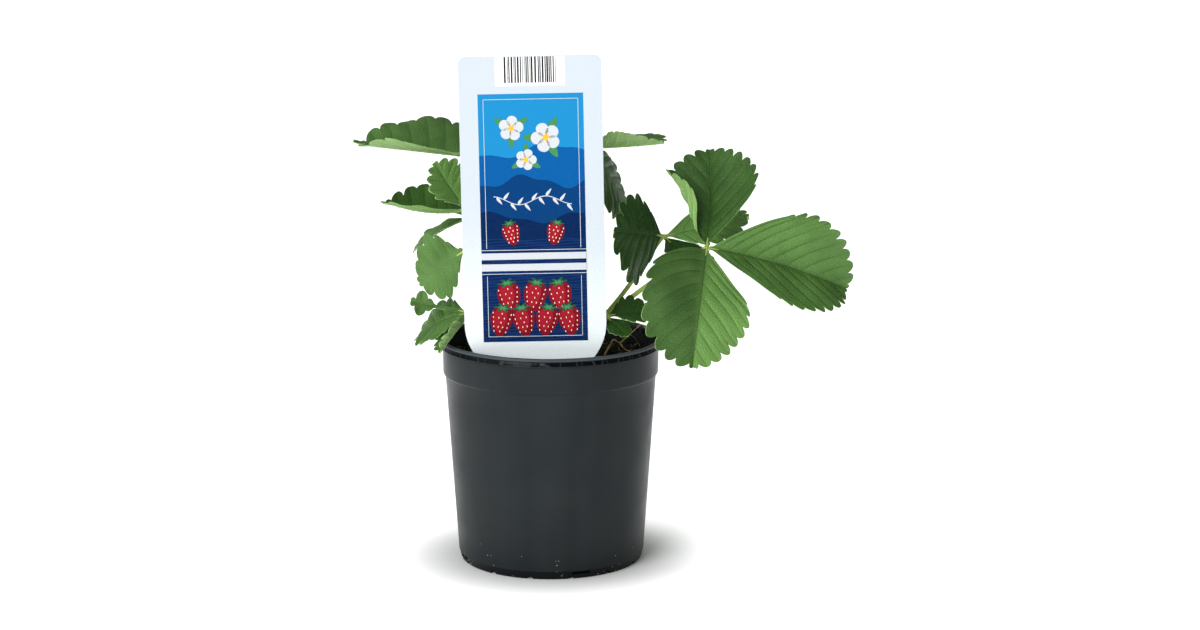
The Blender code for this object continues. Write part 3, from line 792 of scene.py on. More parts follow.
@dataclass
class Soil:
    """The potting soil: a rough bed, crumbs on it, and fibres that lie across it."""

    top: float = 111.0
    radius: float = 57.0
    crown: tuple[float, float] = CROWN_PLACE[:2]
    rings: int = 64
    steps: int = 200
    lump: float = 0.96
    flat: float = 17.0
    fade: float = 8.0
    waves: tuple[float, float, float] = (7.1, 6.3, 9.7)
    phases: tuple[float, float] = (0.6, -0.4)
    slant: float = 1.7
    slant_share: float = 0.6
    skirt: tuple[tuple[float, float], ...] = ((56.9, 105.5), (55.3, 103.0), (49.1, 6.9), (47.6, 4.9))
    crumb_count: int = 1300
    fibre_count: int = 150

    def height(self, x: Array, y: Array) -> Array:
        """Return the soil's height: its level, gentle lumps of sines, and two sizes of random humps."""
        away = np.hypot(x - self.crown[0], y - self.crown[1])
        wave_x, wave_y, wave_slant = self.waves
        lumps = np.sin(x / wave_x + self.phases[0]) * np.cos(y / wave_y + self.phases[1])
        lumps = lumps + self.slant_share * np.sin((x + self.slant * y) / wave_slant)
        spots = np.stack([x, y], axis=-1)
        small = 0.5 * rumple(spots, 3.2, 11) + 0.28 * rumple(spots, 1.3, 12)
        return self.top + self.lump * ease(away, self.flat, self.flat + self.fade) * lumps + small

    def bed(self) -> Surface:
        """Return the closed bed: a polar grid of rings from the middle to the wall, then down and under."""
        turn = np.linspace(0.0, 2.0 * np.pi, self.steps, endpoint=False)
        radius = np.linspace(0.0, 1.0, self.rings)[1:, None] * self.radius
        x, y = radius * np.cos(turn), radius * np.sin(turn)
        top = np.stack([x, y, self.height(x, y)], axis=-1)
        level = np.ones(self.steps)
        lower = [np.column_stack([r * np.cos(turn), r * np.sin(turn), z * level]) for r, z in self.skirt]
        rows = np.concatenate([top, np.array(lower)])
        size = rows.shape[0] * self.steps
        middle = [0.0, 0.0, float(self.height(np.zeros(1), np.zeros(1))[0])]
        number = np.arange(self.steps)
        last = size - self.steps
        fans = [fan_faces(size, number), fan_faces(size + 1, number + last, flip=True)]
        bed = Surface()
        points = np.concatenate([rows.reshape(-1, 3), [middle, [0.0, 0.0, self.skirt[-1][1]]]])
        bed.add(points, [grid_faces(rows.shape[0], self.steps, wrap=True)] + fans, tint=(0.3, 0.3, 0.3))
        return bed

    def crumbs(self) -> Surface:
        """Return crumbs: one ball of 32 faces, scaled, roughened and turned at random for each crumb."""
        rng = np.random.default_rng(3)
        corners = np.array([[1, 0, 0], [-1, 0, 0], [0, 1, 0], [0, -1, 0], [0, 0, 1], [0, 0, -1]], float)
        eighths = np.array(
            [[0, 2, 4], [2, 1, 4], [1, 3, 4], [3, 0, 4], [2, 0, 5], [1, 2, 5], [3, 1, 5], [0, 3, 5]]
        )
        first, second, third = (corners[eighths[:, k]] for k in range(3))
        parts = [first, unit(first + second), unit(first + third), second, unit(second + third), third]
        ball = np.stack(parts, axis=1)
        small = np.array([[0, 1, 2], [1, 3, 4], [2, 4, 5], [1, 4, 2]])
        ball, places = np.unique(ball.reshape(-1, 3).round(6), axis=0, return_inverse=True)
        split = small[None] + 6 * np.arange(8)[:, None, None]
        faces = places.reshape(-1)[split.reshape(-1, 3)].astype(int)
        count = self.crumb_count
        turn = rng.uniform(0.0, 2.0 * np.pi, count)
        radius = np.sqrt(rng.uniform(0.0, 1.0, count)) * (self.radius - 1.6)
        x, y = radius * np.cos(turn), radius * np.sin(turn)
        size = rng.gamma(2.2, 0.33, count).clip(0.25, 2.1)
        rough = ball[None] * rng.uniform(0.65, 1.15, (count, len(ball), 1))
        rough = rough * rng.uniform(0.6, 1.3, (count, 1, 3))
        centre = np.stack([x, y, self.height(x, y) + 0.25 * size], axis=-1)
        points = centre[:, None] + rough * size[:, None, None]
        tone = rng.uniform(0.0, 1.0, count) ** 2
        tints = np.repeat(np.stack([tone] * 3, axis=-1), len(ball), axis=0)
        numbers = (faces[None] + len(ball) * np.arange(count)[:, None, None]).reshape(-1, 3)
        crumbs = Surface()
        crumbs.add(points, [numbers], tint=tints)
        return crumbs

    def fibres(self) -> Surface:
        """Return fibres: thin tubes that wander over the soil and lift a little off it."""
        rng = np.random.default_rng(5)
        fibres = Surface()
        for _ in range(self.fibre_count):
            turn, reach = rng.uniform(0.0, 2.0 * np.pi), 54.0 * np.sqrt(rng.uniform(0.02, 1.0))
            heading = rng.uniform(0.0, 2.0 * np.pi) + np.cumsum(rng.normal(0.0, 0.35, 7))
            step = rng.uniform(0.7, 3.2)
            x = reach * np.cos(turn) + np.cumsum(np.cos(heading)) * step
            y = reach * np.sin(turn) + np.cumsum(np.sin(heading)) * step
            inward = np.minimum(1.0, 55.5 / np.maximum(np.hypot(x, y), 1.0))
            x, y = x * inward, y * inward
            lift = np.sin(np.linspace(0.1, np.pi, 7)) * rng.uniform(0.2, 1.8)
            route = np.stack([x, y, self.height(x, y) + 0.1 + lift], axis=-1)
            radii = np.linspace(1.0, 0.4, 7) * rng.uniform(0.14, 0.32)
            fibres.tube(route, radii, 5, (rng.uniform(0.1, 1.0),) * 3)
        return fibres

    def build(self) -> None:
        """Build and dress the bed, the crumbs and the fibres."""
        soil, fibre = SOIL.material(), FIBRE.material()
        settle(self.bed().make("soil_bed", [soil], 80.0), Slot.SOIL, "soil")
        settle(self.crumbs().make("soil_crumbs", [soil], 60.0), Slot.SOIL)
        settle(self.fibres().make("soil_fibres", [fibre]), Slot.ROOT)


@dataclass
class DryRoot:
    """The dry root that leaves the soil and leans to the lip, with two thin side strands."""

    routes: tuple[tuple[tuple[float, float, float], ...], ...] = (
        ((29, 2, 111.2), (31, 4, 114.5), (34, 6, 119.5), (37.5, 4, 117.5), (43, 6, 122), (49, 8, 127.5),
         (51.5, 6, 125.5), (54, 9, 126.5)),
        ((37.5, 4, 117.5), (40, 0, 115), (43, -3, 114.5), (46, -8, 112.5), (47, -14, 112)),
        ((43, 6, 122), (46, 10, 119), (47, 15, 116), (49, 18, 112.5)),
    )

    def build(self) -> None:
        """Sweep each strand along its points, rounded by a running mean of a fine line through them."""
        strands = Surface()
        for number, route in enumerate(self.routes):
            route = np.array(route, float)
            place = np.linspace(0.0, len(route) - 1.0, 8 * len(route))
            fine = np.stack([np.interp(place, np.arange(len(route)), route[:, k]) for k in range(3)], axis=-1)
            padded = np.concatenate([fine[:1], fine[:1], fine, fine[-1:], fine[-1:]])
            fine = sum(padded[k : k + len(fine)] for k in range(5)) / 5.0
            wobble = 1.0 + 0.25 * rumple(fine, 2.0, 21 + number)
            radius = (0.5 if number == 0 else 0.28) * wobble * np.linspace(1.0, 0.55, len(fine))
            strands.tube(fine, radius, 8, (0.85, 0.85, 0.85))
        settle(strands.make("dry_root_strands", [FIBRE.material()]), Slot.ROOT, "dry_root")


# --- Label ---


@dataclass
class Label:
    """The card that stands in the pot on a stake, with its printed panel.

    Its own plane has x to the right, y up from the card's foot and z towards the viewer. The print is a
    pile of very thin plates, each a little higher than the one under it.
    """

    width: float = 75.0
    top: float = 277.5
    foot: float = 107.0
    thickness: float = 0.5
    centre: tuple[float, float] = (-6.8, -36.2)
    lean: float = 2.6
    roll: float = -1.1
    top_corner: float = 4.0
    low_corner: float = 30.0
    stake: tuple[float, float] = (38.0, 14.0)
    stake_tip: tuple[float, float] = (4.5, 8.0)
    waist: float = 80.0
    pile_base: float = 0.01
    pile_sink: float = 0.03
    pile_step: float = 0.02
    panel: tuple[float, float, float, float] = (-27.6, 27.6, 20.0, 151.0)
    sky: Colour = (0.012, 0.245, 0.53)
    mid: Colour = (0.001, 0.098, 0.33)
    deep: Colour = (0.0, 0.042, 0.168)
    navy: Colour = (0.0, 0.016, 0.08)
    line: Colour = (0.008, 0.036, 0.15)
    white: Colour = (0.61, 0.64, 0.68)
    red: Colour = (0.2, 0.004, 0.012)
    blush: Colour = (0.34, 0.01, 0.022)
    seed: Colour = (0.95, 0.75, 0.6)
    green: Colour = (0.015, 0.09, 0.045)
    bright: Colour = (0.06, 0.25, 0.09)
    yellow: Colour = (0.85, 0.5, 0.03)
    ink: Colour = (0.012, 0.014, 0.02)

    def place(self, surface: Surface) -> Surface:
        """Move a surface from the card's own plane to its place in the pot."""
        angles = (np.pi / 2 - np.radians(self.lean), np.radians(self.roll), 0.0)
        turn = rotation(angles, "ZXY")
        shift = np.array([*self.centre, self.foot]) * MM
        surface.points = [points @ turn.T + shift for points in surface.points]
        return surface

    def outline(self, inset: float) -> Array:
        """Return the card's outline: two arcs at the top, two at the foot and the pointed stake between."""
        half = self.width / 2
        top = (self.top - self.foot) / np.cos(np.radians(self.lean))
        deep, wide = self.stake

        def arc(x: float, y: float, radius: float, start: float, end: float, steps: int) -> Array:
            turn = np.radians(np.linspace(start, end, steps))
            return np.column_stack([x + (radius - inset) * np.cos(turn), y + (radius - inset) * np.sin(turn)])

        high, low = self.top_corner, self.low_corner
        tip, taper = self.stake_tip
        side = np.array([[wide / 2 - inset, 0.0], [tip - inset, taper - deep]])
        stake = np.concatenate([side * (-1.0, 1.0), [[0.0, inset - deep]], side[::-1]])
        return np.concatenate(
            [
                arc(half - high, top - high, high, 0, 90, 10),
                arc(high - half, top - high, high, 90, 180, 10),
                arc(low - half, low, low, 180, 268, 30),
                stake,
                arc(half - low, low, low, -88, 0, 30),
            ]
        )

    def card(self) -> Surface:
        """Return the closed card: fans over both faces, with a rounded edge of four rings between them."""
        half = self.thickness / 2
        levels = [(0.16, half), (0.03, half * 0.62), (0.03, -half * 0.62), (0.16, -half)]
        edges = [(self.outline(inset), z) for inset, z in levels]
        rings = np.array([np.column_stack([edge, np.full(len(edge), z)]) for edge, z in edges])
        size = rings.shape[1]
        number = np.arange(size)
        hub = size * len(levels)
        last = size * (len(levels) - 1)
        fans = [fan_faces(hub, number), fan_faces(hub + 1, number + last, flip=True)]
        points = np.concatenate([rings.reshape(-1, 3), [[0.0, self.waist, half], [0.0, self.waist, -half]]])
        # Painted light: the card's tint makes it lighter towards its foot, where shade falls on it, and darker
        # towards its top.
        tone = 1.0 - points[:, 1] / self.waist
        card = Surface()
        card.add(points, [grid_faces(len(levels), size, wrap=True)] + fans, tint=np.stack([tone] * 3, axis=-1))
        return self.place(card)

    def strip(self, ink: Surface, x: Array, low: Array, high: Array, level: int, tint: Colour) -> None:
        """Print the area between two curves over x on a level of the pile."""
        base = self.thickness / 2 + self.pile_base
        z = np.full_like(x, base + self.pile_step * level)
        top = np.stack([np.column_stack([x, high, z]), np.column_stack([x, low, z])])
        bottom = top.copy()
        bottom[..., 2] = base - self.pile_sink
        ink.shell(top, bottom, tint)

    def shape(self, ink: Surface, outline: Array, level: int, tint: Colour) -> None:
        """Print the inside of an outline on a level of the pile."""
        base = self.thickness / 2 + self.pile_base
        ink.plate(outline, base - self.pile_sink, base + self.pile_step * level, tint)

    def bar(
        self, ink: Surface, left: float, right: float, low: float, high: float, level: int, tint: Colour
    ) -> None:
        """Print an upright rectangle."""
        self.shape(ink, np.array([[left, low], [right, low], [right, high], [left, high]]), level, tint)

    def oval(self, x: float, y: float, wide: float, tall: float, turn: float = 0.0, tip: float = 0.0) -> Array:
        """Return an oval, pointed towards its +x end by tip and turned by an angle in degrees."""
        way = np.linspace(0.0, 2.0 * np.pi, 28, endpoint=False)
        taper = 1.0 - tip * (1 + np.cos(way)) / 2
        flat = np.column_stack([np.cos(way) * wide / 2, np.sin(way) * tall / 2 * taper])
        spin = np.radians(turn)
        turned = flat @ np.array([[np.cos(spin), np.sin(spin)], [-np.sin(spin), np.cos(spin)]])
        return turned + (x, y)

    def blossom(self, ink: Surface, x: float, y: float, radius: float, turn: float) -> None:
        """Print a white blossom: three green leaves, five round petals, a yellow middle and its stamens."""
        for spin in (20.0, 140.0, 260.0):
            way = np.radians(turn + spin)
            centre = (x + np.cos(way) * radius, y + np.sin(way) * radius)
            self.shape(ink, self.oval(*centre, radius * 1.1, radius * 0.7, turn + spin, 0.5), 6, self.bright)
        for petal in range(5):
            way = np.radians(turn + 72.0 * petal)
            centre = (x + 0.55 * radius * np.cos(way), y + 0.55 * radius * np.sin(way))
            outline = self.oval(*centre, radius * 0.9, radius * 0.74, turn + 72.0 * petal, -0.25)
            self.shape(ink, outline, 7, self.white)
        self.shape(ink, self.oval(x, y, radius * 0.42, radius * 0.42), 8, self.yellow)
        for dot in range(12):
            way = np.radians(turn + 30.0 * dot)
            reach = radius * 0.33
            outline = self.oval(x + reach * np.cos(way), y + reach * np.sin(way), 0.5, 0.5)
            self.shape(ink, outline, 9, self.yellow)

    def berry(self, ink: Surface, x: float, y: float, tall: float, turn: float, level: int) -> None:
        """Print a berry: a rounded cone with a lighter flank, staggered seeds and a green star of a cap."""
        way = np.linspace(0.0, 2.0 * np.pi, 40, endpoint=False)
        spin = np.radians(turn)
        tilt = np.array([[np.cos(spin), np.sin(spin)], [-np.sin(spin), np.cos(spin)]])

        def put(flat: Array) -> Array:
            return flat @ tilt + (x, y)

        body = np.column_stack([np.sin(way) * 0.45 * (0.8 - 0.22 * np.cos(way)), -np.cos(way) * 0.5]) * tall
        self.shape(ink, put(body[::-1] * (-1.0, 1.0)), level, self.red)
        self.shape(ink, put(body[::-1] * (-0.62, 0.78) + (-0.05 * tall, 0.03 * tall)), level + 1, self.blush)
        for row in range(5):
            rise = 0.26 - 0.15 * row
            reach = 0.4 * (0.74 + 0.52 * rise)
            for share in np.linspace(-1.0, 1.0, 4 if row % 2 else 3):
                spot = put(np.array([[share * reach * 0.86 * tall, rise * tall]]))[0]
                self.shape(ink, self.oval(*spot, 0.5, 0.95, turn), level + 2, self.seed)
        star = np.linspace(0.0, 2.0 * np.pi, 36, endpoint=False)
        reach = tall * (0.13 + 0.15 * np.abs(np.cos(3.0 * star)) ** 2)
        cap = np.column_stack([np.cos(star) * reach * 1.15, np.sin(star) * reach * 0.55 + 0.46 * tall])
        self.shape(ink, put(cap), level + 3, self.green)
        self.shape(ink, put(cap * (0.55, 0.55) + (0.0, 0.2 * tall)), level + 4, self.bright)

    def panel_ground(self, ink: Surface) -> None:
        """Print the panel: soft wave bands from sky blue to navy, fine rows, a frame line and white stripes."""
        left, right, low, high = self.panel
        x = np.linspace(left, right, 90)
        self.strip(ink, x, np.full_like(x, low), np.full_like(x, high), 1, self.sky)
        bands = [
            (121.0, 3.4, 9.0, 0.4, self.mid),
            (105.0, 3.0, 7.0, 2.1, self.deep),
            (86.0, 2.6, 8.0, 4.4, self.navy),
        ]
        for number, (level, swing, length, shift, tint) in enumerate(bands):
            crest = level + swing * np.sin(x / length + shift)
            crest = crest + 0.35 * swing * np.sin(x / (0.41 * length) + 2 * shift)
            self.strip(ink, x, np.full_like(x, low), crest, 2 + number, tint)
        for row in np.arange(low + 0.6, 75.0, 1.25):
            crest = row + 0.5 * np.sin(x / 5.0 + row)
            under, over = np.maximum(crest - 0.22, low), np.maximum(crest + 0.12, low + 0.05)
            self.strip(ink, x, under, over, 5, self.line)
        inset, fine = 2.7, 0.28
        for bottom, top in ((low + inset, 55.0), (69.8, high - inset)):
            self.bar(ink, left + inset, left + inset + fine, bottom, top, 6, self.white)
            self.bar(ink, right - inset - fine, right - inset, bottom, top, 6, self.white)
        self.bar(ink, left + inset, right - inset, low + inset, low + inset + fine, 6, self.white)
        self.bar(ink, left + inset, right - inset, high - inset - fine, high - inset, 6, self.white)
        for bottom, top in ((57.8, 61.5), (63.8, 67.3), (56.1, 56.4), (68.7, 69.0)):
            self.bar(ink, left, right, bottom, top, 20, self.white)

    def panel_motifs(self, ink: Surface) -> None:
        """Print the motifs: three blossoms, a vine with leaves, and staggered rows of berries."""
        self.blossom(ink, -10.5, 133.0, 6.6, 10.0)
        self.blossom(ink, 7.5, 128.0, 7.8, 40.0)
        self.blossom(ink, -3.0, 116.5, 5.6, 70.0)
        x = np.linspace(-20.5, 20.5, 70)
        vine = 95.0 + 2.2 * np.sin(x / 4.4)
        self.strip(ink, x, vine - 0.22, vine + 0.22, 6, self.white)
        for number, spot in enumerate(np.linspace(-18.5, 18.5, 11)):
            rise = 1.0 if number % 2 else -1.0
            height = 95.0 + 2.2 * np.sin(spot / 4.4) + 2.1 * rise
            leaf = self.oval(spot + 1.1, height, 4.6, 2.1, 52.0 * rise, 0.75)
            self.shape(ink, leaf, 6, self.white)
        for row, (level, spots, tall) in enumerate(((44.0, 3, 16.5), (31.0, 4, 16.0))):
            for number, spot in enumerate(np.linspace(-1.0, 1.0, spots) * (13.5 + 4.6 * row)):
                self.berry(ink, spot, level, tall, 9.0 * (-1.0) ** (number + row), 7 + 6 * row)
        for number, spot in enumerate((-11.5, 11.5)):
            self.berry(ink, spot, 77.5, 12.5, 12.0 - 24.0 * number, 7)

    def code_bars(self, ink: Surface) -> None:
        """Print a white patch with plain upright bars of random widths, which encode nothing."""
        top = (self.top - self.foot) / np.cos(np.radians(self.lean))
        self.bar(ink, -18.2, 18.2, top - 15.6, top - 0.5, 1, (0.98, 0.98, 0.98))
        rng = np.random.default_rng(17)
        left = -13.5
        while left < 13.2:
            wide = 0.3 * float(rng.integers(1, 4))
            self.bar(ink, left, left + wide, top - 14.0, top - 0.5, 2, self.ink)
            left += wide + 0.3 * float(rng.integers(1, 4))

    def build(self) -> None:
        """Build and dress the card and its print."""
        settle(self.card().make("label_card", [CARD.material()], 30.0), Slot.LABEL, "plant_label")
        ink = Surface()
        self.panel_ground(ink)
        self.panel_motifs(ink)
        self.code_bars(ink)
        settle(self.place(ink).make("label_print", [INK.material()], 40.0), Slot.LABEL)


# --- Plant ---


@dataclass
class Leaflet:
    """One leaflet: the way it points (degrees), its size (mm), its folds, bend, lean, curl, neck, and tones,
    partly painted light and shade.
    """

    heading: float
    pitch: float
    roll: float
    length: float
    width: float
    fold_left: float = 15.0
    fold_right: float = 15.0
    droop: float = 10.0
    lean: float = 0.0
    curl_left: float = 0.0
    neck: float = 0.0
    crease: tuple[float, float] = (0.5, 0.42)
    bow: float = 5.0
    smooth: float = 0.28
    tooth: float = 0.56
    # How light the blade is: partly its own colour, partly painted light and shade for how brightly it is lit.
    tone: float = 0.37
    # Painted light: one half of the blade lighter and the other darker, as light falls on it.
    shift: float = 0.0
    pale: float = 0.1

    def frame(self, knuckle: Array) -> tuple[Array, Array]:
        """Return the blade's rotation and the place where it starts."""
        turn = rotation(np.radians((self.roll, -self.pitch, self.heading)))
        return turn, knuckle + direction(self.heading, self.pitch) * STUB

    def half_width(self, share: Array, side: Array) -> Array:
        """Return half * (1 + side * lean) * sin(pi * share ** skew) ** (base - loss * share), or the stub."""
        share = np.clip((share - self.neck) / (1.0 - self.neck), 0.0, 1.0)
        arch = np.maximum(0.0, np.sin(np.pi * share**OUTLINE_SKEW))
        full = arch ** (BASE_FULLNESS - FULLNESS_LOSS * share)
        return np.maximum(self.width / 2 * (1 + side * self.lean) * full, 0.9 - 0.75 * share)

    def bend(self, along: Array, across: Array) -> Array:
        """Bend flat points: an arc of droop along the midrib, a fold on each side, and a crease on the left.

        The midrib is an arc of radius length / droop. A half goes up from it at its fold angle. On the left
        it may turn on by the curl over a short arc, from a crease that leaves the midrib in a straight line,
        and go on straight from there.
        """
        droop = np.radians(self.droop) or LEAST_BEND
        turn = droop * along / self.length
        x = self.length / droop * np.sin(turn)
        z = -self.length / droop * (1.0 - np.cos(turn))
        side = np.where(across >= 0.0, 1.0, -1.0)
        fold = np.radians(np.where(side > 0.0, self.fold_left, self.fold_right))
        curl = np.radians(np.where(side > 0.0, self.curl_left, 0.0)) + LEAST_BEND
        reach = np.abs(across)
        crease = self.crease[0] + self.crease[1] * along
        inner = np.minimum(reach, crease)
        arc = np.clip(reach - crease, 0.0, self.bow)
        outer = np.maximum(reach - crease - self.bow, 0.0)
        radius = self.bow / curl
        late = fold + arc / radius
        y = side * (inner * np.cos(fold) + (np.sin(late) - np.sin(fold)) * radius + outer * np.cos(late))
        up = inner * np.sin(fold) + (np.cos(fold) - np.cos(late)) * radius + outer * np.sin(late)
        return np.stack([x + up * np.sin(turn), y, z + up * np.cos(turn)], axis=-1)

    def margin(self, phase: Array, teeth: float, side: float) -> tuple[Array, float]:
        """Return the margin's flat points by tooth phase, and the length of one tooth along it.

        Phases below 0 are the smooth part by the stub, and then each whole phase is one tooth, spaced evenly
        along the outline's length. The last half phase ends in the tip.
        """
        fine = np.linspace(0.0, 1.0, 500)
        edge = np.column_stack([fine * self.length, self.half_width(fine, np.full(500, side))])
        gone = np.concatenate([[0.0], np.cumsum(np.linalg.norm(np.diff(edge, axis=0), axis=1))])
        start = self.smooth
        toothed = start + (1.0 - start) * phase / (teeth + 0.5)
        share = np.where(phase < 0.0, start * (1.0 + 2.0 * phase), toothed)
        place = np.interp(share * gone[-1], gone, fine)
        flat = np.stack([place * self.length, self.half_width(place, np.full_like(place, side))], axis=-1)
        return flat, gone[-1] * (1.0 - start) / (teeth + 0.5)

    def blade(self, surface: Surface, knuckle: Array, seed: int) -> None:
        """Add the blade to a surface as a closed shell on a grid that follows the side veins.

        Each row runs from a point of the midrib, whose share of the length is raised to ROW_BUNCHING, to a
        point of the margin, which a tooth of |sin(pi * phase)| ** LOBE_POWER pushes out along the row. Side
        veins lie at half phases. The shell rises between them by |cos(pi * phase)| ** RIDGE_POWER, sinks at
        the midrib, and carries ribs underneath.
        """
        rng = np.random.default_rng(seed)
        teeth = float(round(2.9 + self.length / 15.0)) if self.neck == 0.0 else 2.0
        steps, columns = (12, 13) if self.length > 45.0 else (10, 9)
        toothed = np.linspace(0.0, teeth + 0.5, int((teeth + 0.5) * steps) + 1)
        phase = np.concatenate([np.linspace(-0.5, 0.0, 15)[:-1], toothed])
        spread = np.linspace(-1.0, 1.0, 2 * columns + 1)
        spread = np.sign(spread) * np.abs(spread) ** COLUMN_BUNCHING
        share = (phase + 0.5) / (teeth + 1.0)
        bare = self.neck * 0.9
        origin = (bare * ease(share, 0.0, 0.05) + (1.0 - bare) * share**ROW_BUNCHING) * self.length
        halves = []
        for side in (-1.0, 1.0):
            edge, pitch = self.margin(phase, teeth, side)
            root = np.stack([origin, np.zeros_like(origin)], axis=-1)
            way = unit(edge - root + (1e-6, 0.0))
            fade = ease(phase, -0.1, 0.4) * (0.55 + 0.45 * ease(edge[:, 1], 0.0, self.width * 0.3))
            jitter = 1.0 + 0.22 * np.sin(phase * 2.1 + rng.uniform(0.0, 6.0))
            lobe = np.abs(np.sin(np.pi * phase)) ** LOBE_POWER
            depth = pitch * self.tooth * fade * jitter
            halves.append(edge + way * (depth * (lobe - 0.75))[:, None])
        reach = np.abs(spread)[None, :]
        edge = np.where(spread[None, :, None] < 0.0, halves[0][:, None], halves[1][:, None])
        x = origin[:, None] + (edge[..., 0] - origin[:, None]) * reach**1.12
        y = np.sign(spread)[None, :] * edge[..., 1] * reach**0.96
        gap = np.hypot(np.gradient(x, phase, axis=0), np.gradient(y, phase, axis=0))
        ridge = np.abs(np.cos(np.pi * phase))[:, None] ** RIDGE_POWER - 0.6
        ridge = ridge * np.clip(0.1 * gap, 0.0, 0.85) * (1.0 - 0.6 * reach**4)
        ridge = ridge * ease(phase, -0.45, 0.4)[:, None]
        ridge = ridge * ease(np.abs(y), 0.2, 4.5)
        along = x / self.length
        groove = -0.55 * np.exp(-((y / 0.6) ** 2)) * (1.0 - 0.6 * along)
        flat = np.stack([x, y], axis=-1) + rng.uniform(0.0, 90.0, 2)
        wave = rumple(flat, 0.34 * self.width, seed + 1) * 0.026 * self.width
        wave = wave * reach**1.5 * ease(along, 0.05, 0.4)
        off_vein = gap * np.abs(phase - np.floor(phase) - 0.5)[:, None]
        ribs = 0.2 + 0.75 * np.exp(-((y / 0.75) ** 2)) * (1.0 - 0.75 * along)
        ribs = ribs + 0.22 * np.exp(-((off_vein / 0.35) ** 2)) * (1.0 - reach**3)
        step = 0.2
        rise = self.bend(x + step, y) - self.bend(x - step, y)
        normal = unit(np.cross(rise, self.bend(x, y + step) - self.bend(x, y - step)))
        middle = self.bend(x, y)
        relief = ridge + groove + wave
        turn, start = self.frame(knuckle)
        top = (middle + normal * (relief + BLADE_SKIN)[..., None]) @ turn.T + start
        bottom = (middle + normal * (relief - ribs)[..., None]) @ turn.T + start
        # Painted light and shade: the tone, raised on one half of the blade and lowered on the other by the
        # shift.
        tone = self.tone + self.shift * np.clip(spread / 0.12, -1.0, 1.0)[None, :]
        pattern = np.stack(np.broadcast_arrays((spread[None, :] + 1.0) / 2.0, phase[:, None]), axis=-1)
        tint = np.stack(np.broadcast_arrays(tone, self.pale, reach + 0.0 * x), axis=-1)
        surface.shell(top, bottom, tint, pattern=pattern)


@dataclass
class Leaf:
    """One leaf: where its leaflets meet (mm), the way its stalk leaves and arrives (degrees), its leaflets."""

    name: str
    knuckle: tuple[float, float, float]
    leaves: tuple[float, float]
    arrives: tuple[float, float]
    leaflets: dict[str, Leaflet]
    crown: tuple[float, float, float] = CROWN_PLACE
    dome: tuple[float, float] = (9.5, 9.0)

    def route(self) -> Array:
        """Return the stalk's points: a cubic curve from inside the crown to the knuckle."""
        rise = np.radians(self.leaves[1])
        reach = 1.0 / np.hypot(np.cos(rise) / self.dome[0], np.sin(rise) / self.dome[1])
        away, towards = direction(*self.leaves), direction(*self.arrives)
        start = np.array(self.crown) + away * (reach + STALK_CLEARANCE)
        end = np.array(self.knuckle, float)
        hold = np.linalg.norm(end - start) * STALK_HOLD
        t = np.linspace(0.0, 1.0, 40)[:, None]
        s = 1.0 - t
        curve = start * s**3 + (start + away * hold) * 3 * s * s * t + (end - towards * hold) * 3 * s * t * t
        curve = curve + end * t**3
        inner = start - away * np.linspace(5.0, 1.0, 4)[:, None]
        return np.concatenate([inner, curve])

    def stalk(self) -> Surface:
        """Return the stalk, its swollen knuckle and the short stubs that carry the leaflets."""
        route = self.route()
        share = np.linspace(0.0, 1.0, len(route))
        radius = STALK_BASE - STALK_LOSS * share + FLARE[0] * np.exp(-share / FLARE[1])
        radius = radius + SWELLING[0] * np.exp(-(((share - 1.0) / SWELLING[1]) ** 2))
        turn = np.linspace(0.0, 2.0 * np.pi, 14, endpoint=False)
        section = 1.0 - 0.13 * np.exp(-(((turn - np.pi / 2) / 0.5) ** 2)) + 0.03 * np.cos(3 * turn)
        tint = np.stack([0.25 + 0.6 * share, share, share], axis=-1)
        stalk = Surface()
        stalk.tube(route, radius[:, None] * section[None], 14, tint)
        knuckle = np.array(self.knuckle, float)
        for leaflet in self.leaflets.values():
            turn, start = leaflet.frame(knuckle)
            reach = min(5.0, 0.14 * leaflet.length)
            inner = leaflet.bend(np.linspace(0.0, reach, 7), np.zeros(7)) - (0.0, 0.0, 0.35)
            path = np.concatenate([knuckle[None], inner @ turn.T + start])
            stalk.tube(path, np.linspace(0.95, 0.32, len(path)), 12, (0.95, 0.9, 0.9))
        return stalk

    def build(self, stalk: bpy.types.Material, blade: Sequence[bpy.types.Material], seed: int) -> None:
        """Build and dress the stalk and each blade."""
        settle(self.stalk().make(f"{self.name}_petiole", [stalk]), Slot.STALK, f"{self.name}_stalk")
        for number, (part, leaflet) in enumerate(self.leaflets.items()):
            surface = Surface()
            leaflet.blade(surface, np.array(self.knuckle, float), seed + 7 * number)
            name = f"{self.name}_{part}"
            settle(surface.make(name.replace("leaflet", "blade"), blade, 75.0), Slot.LEAF, name)


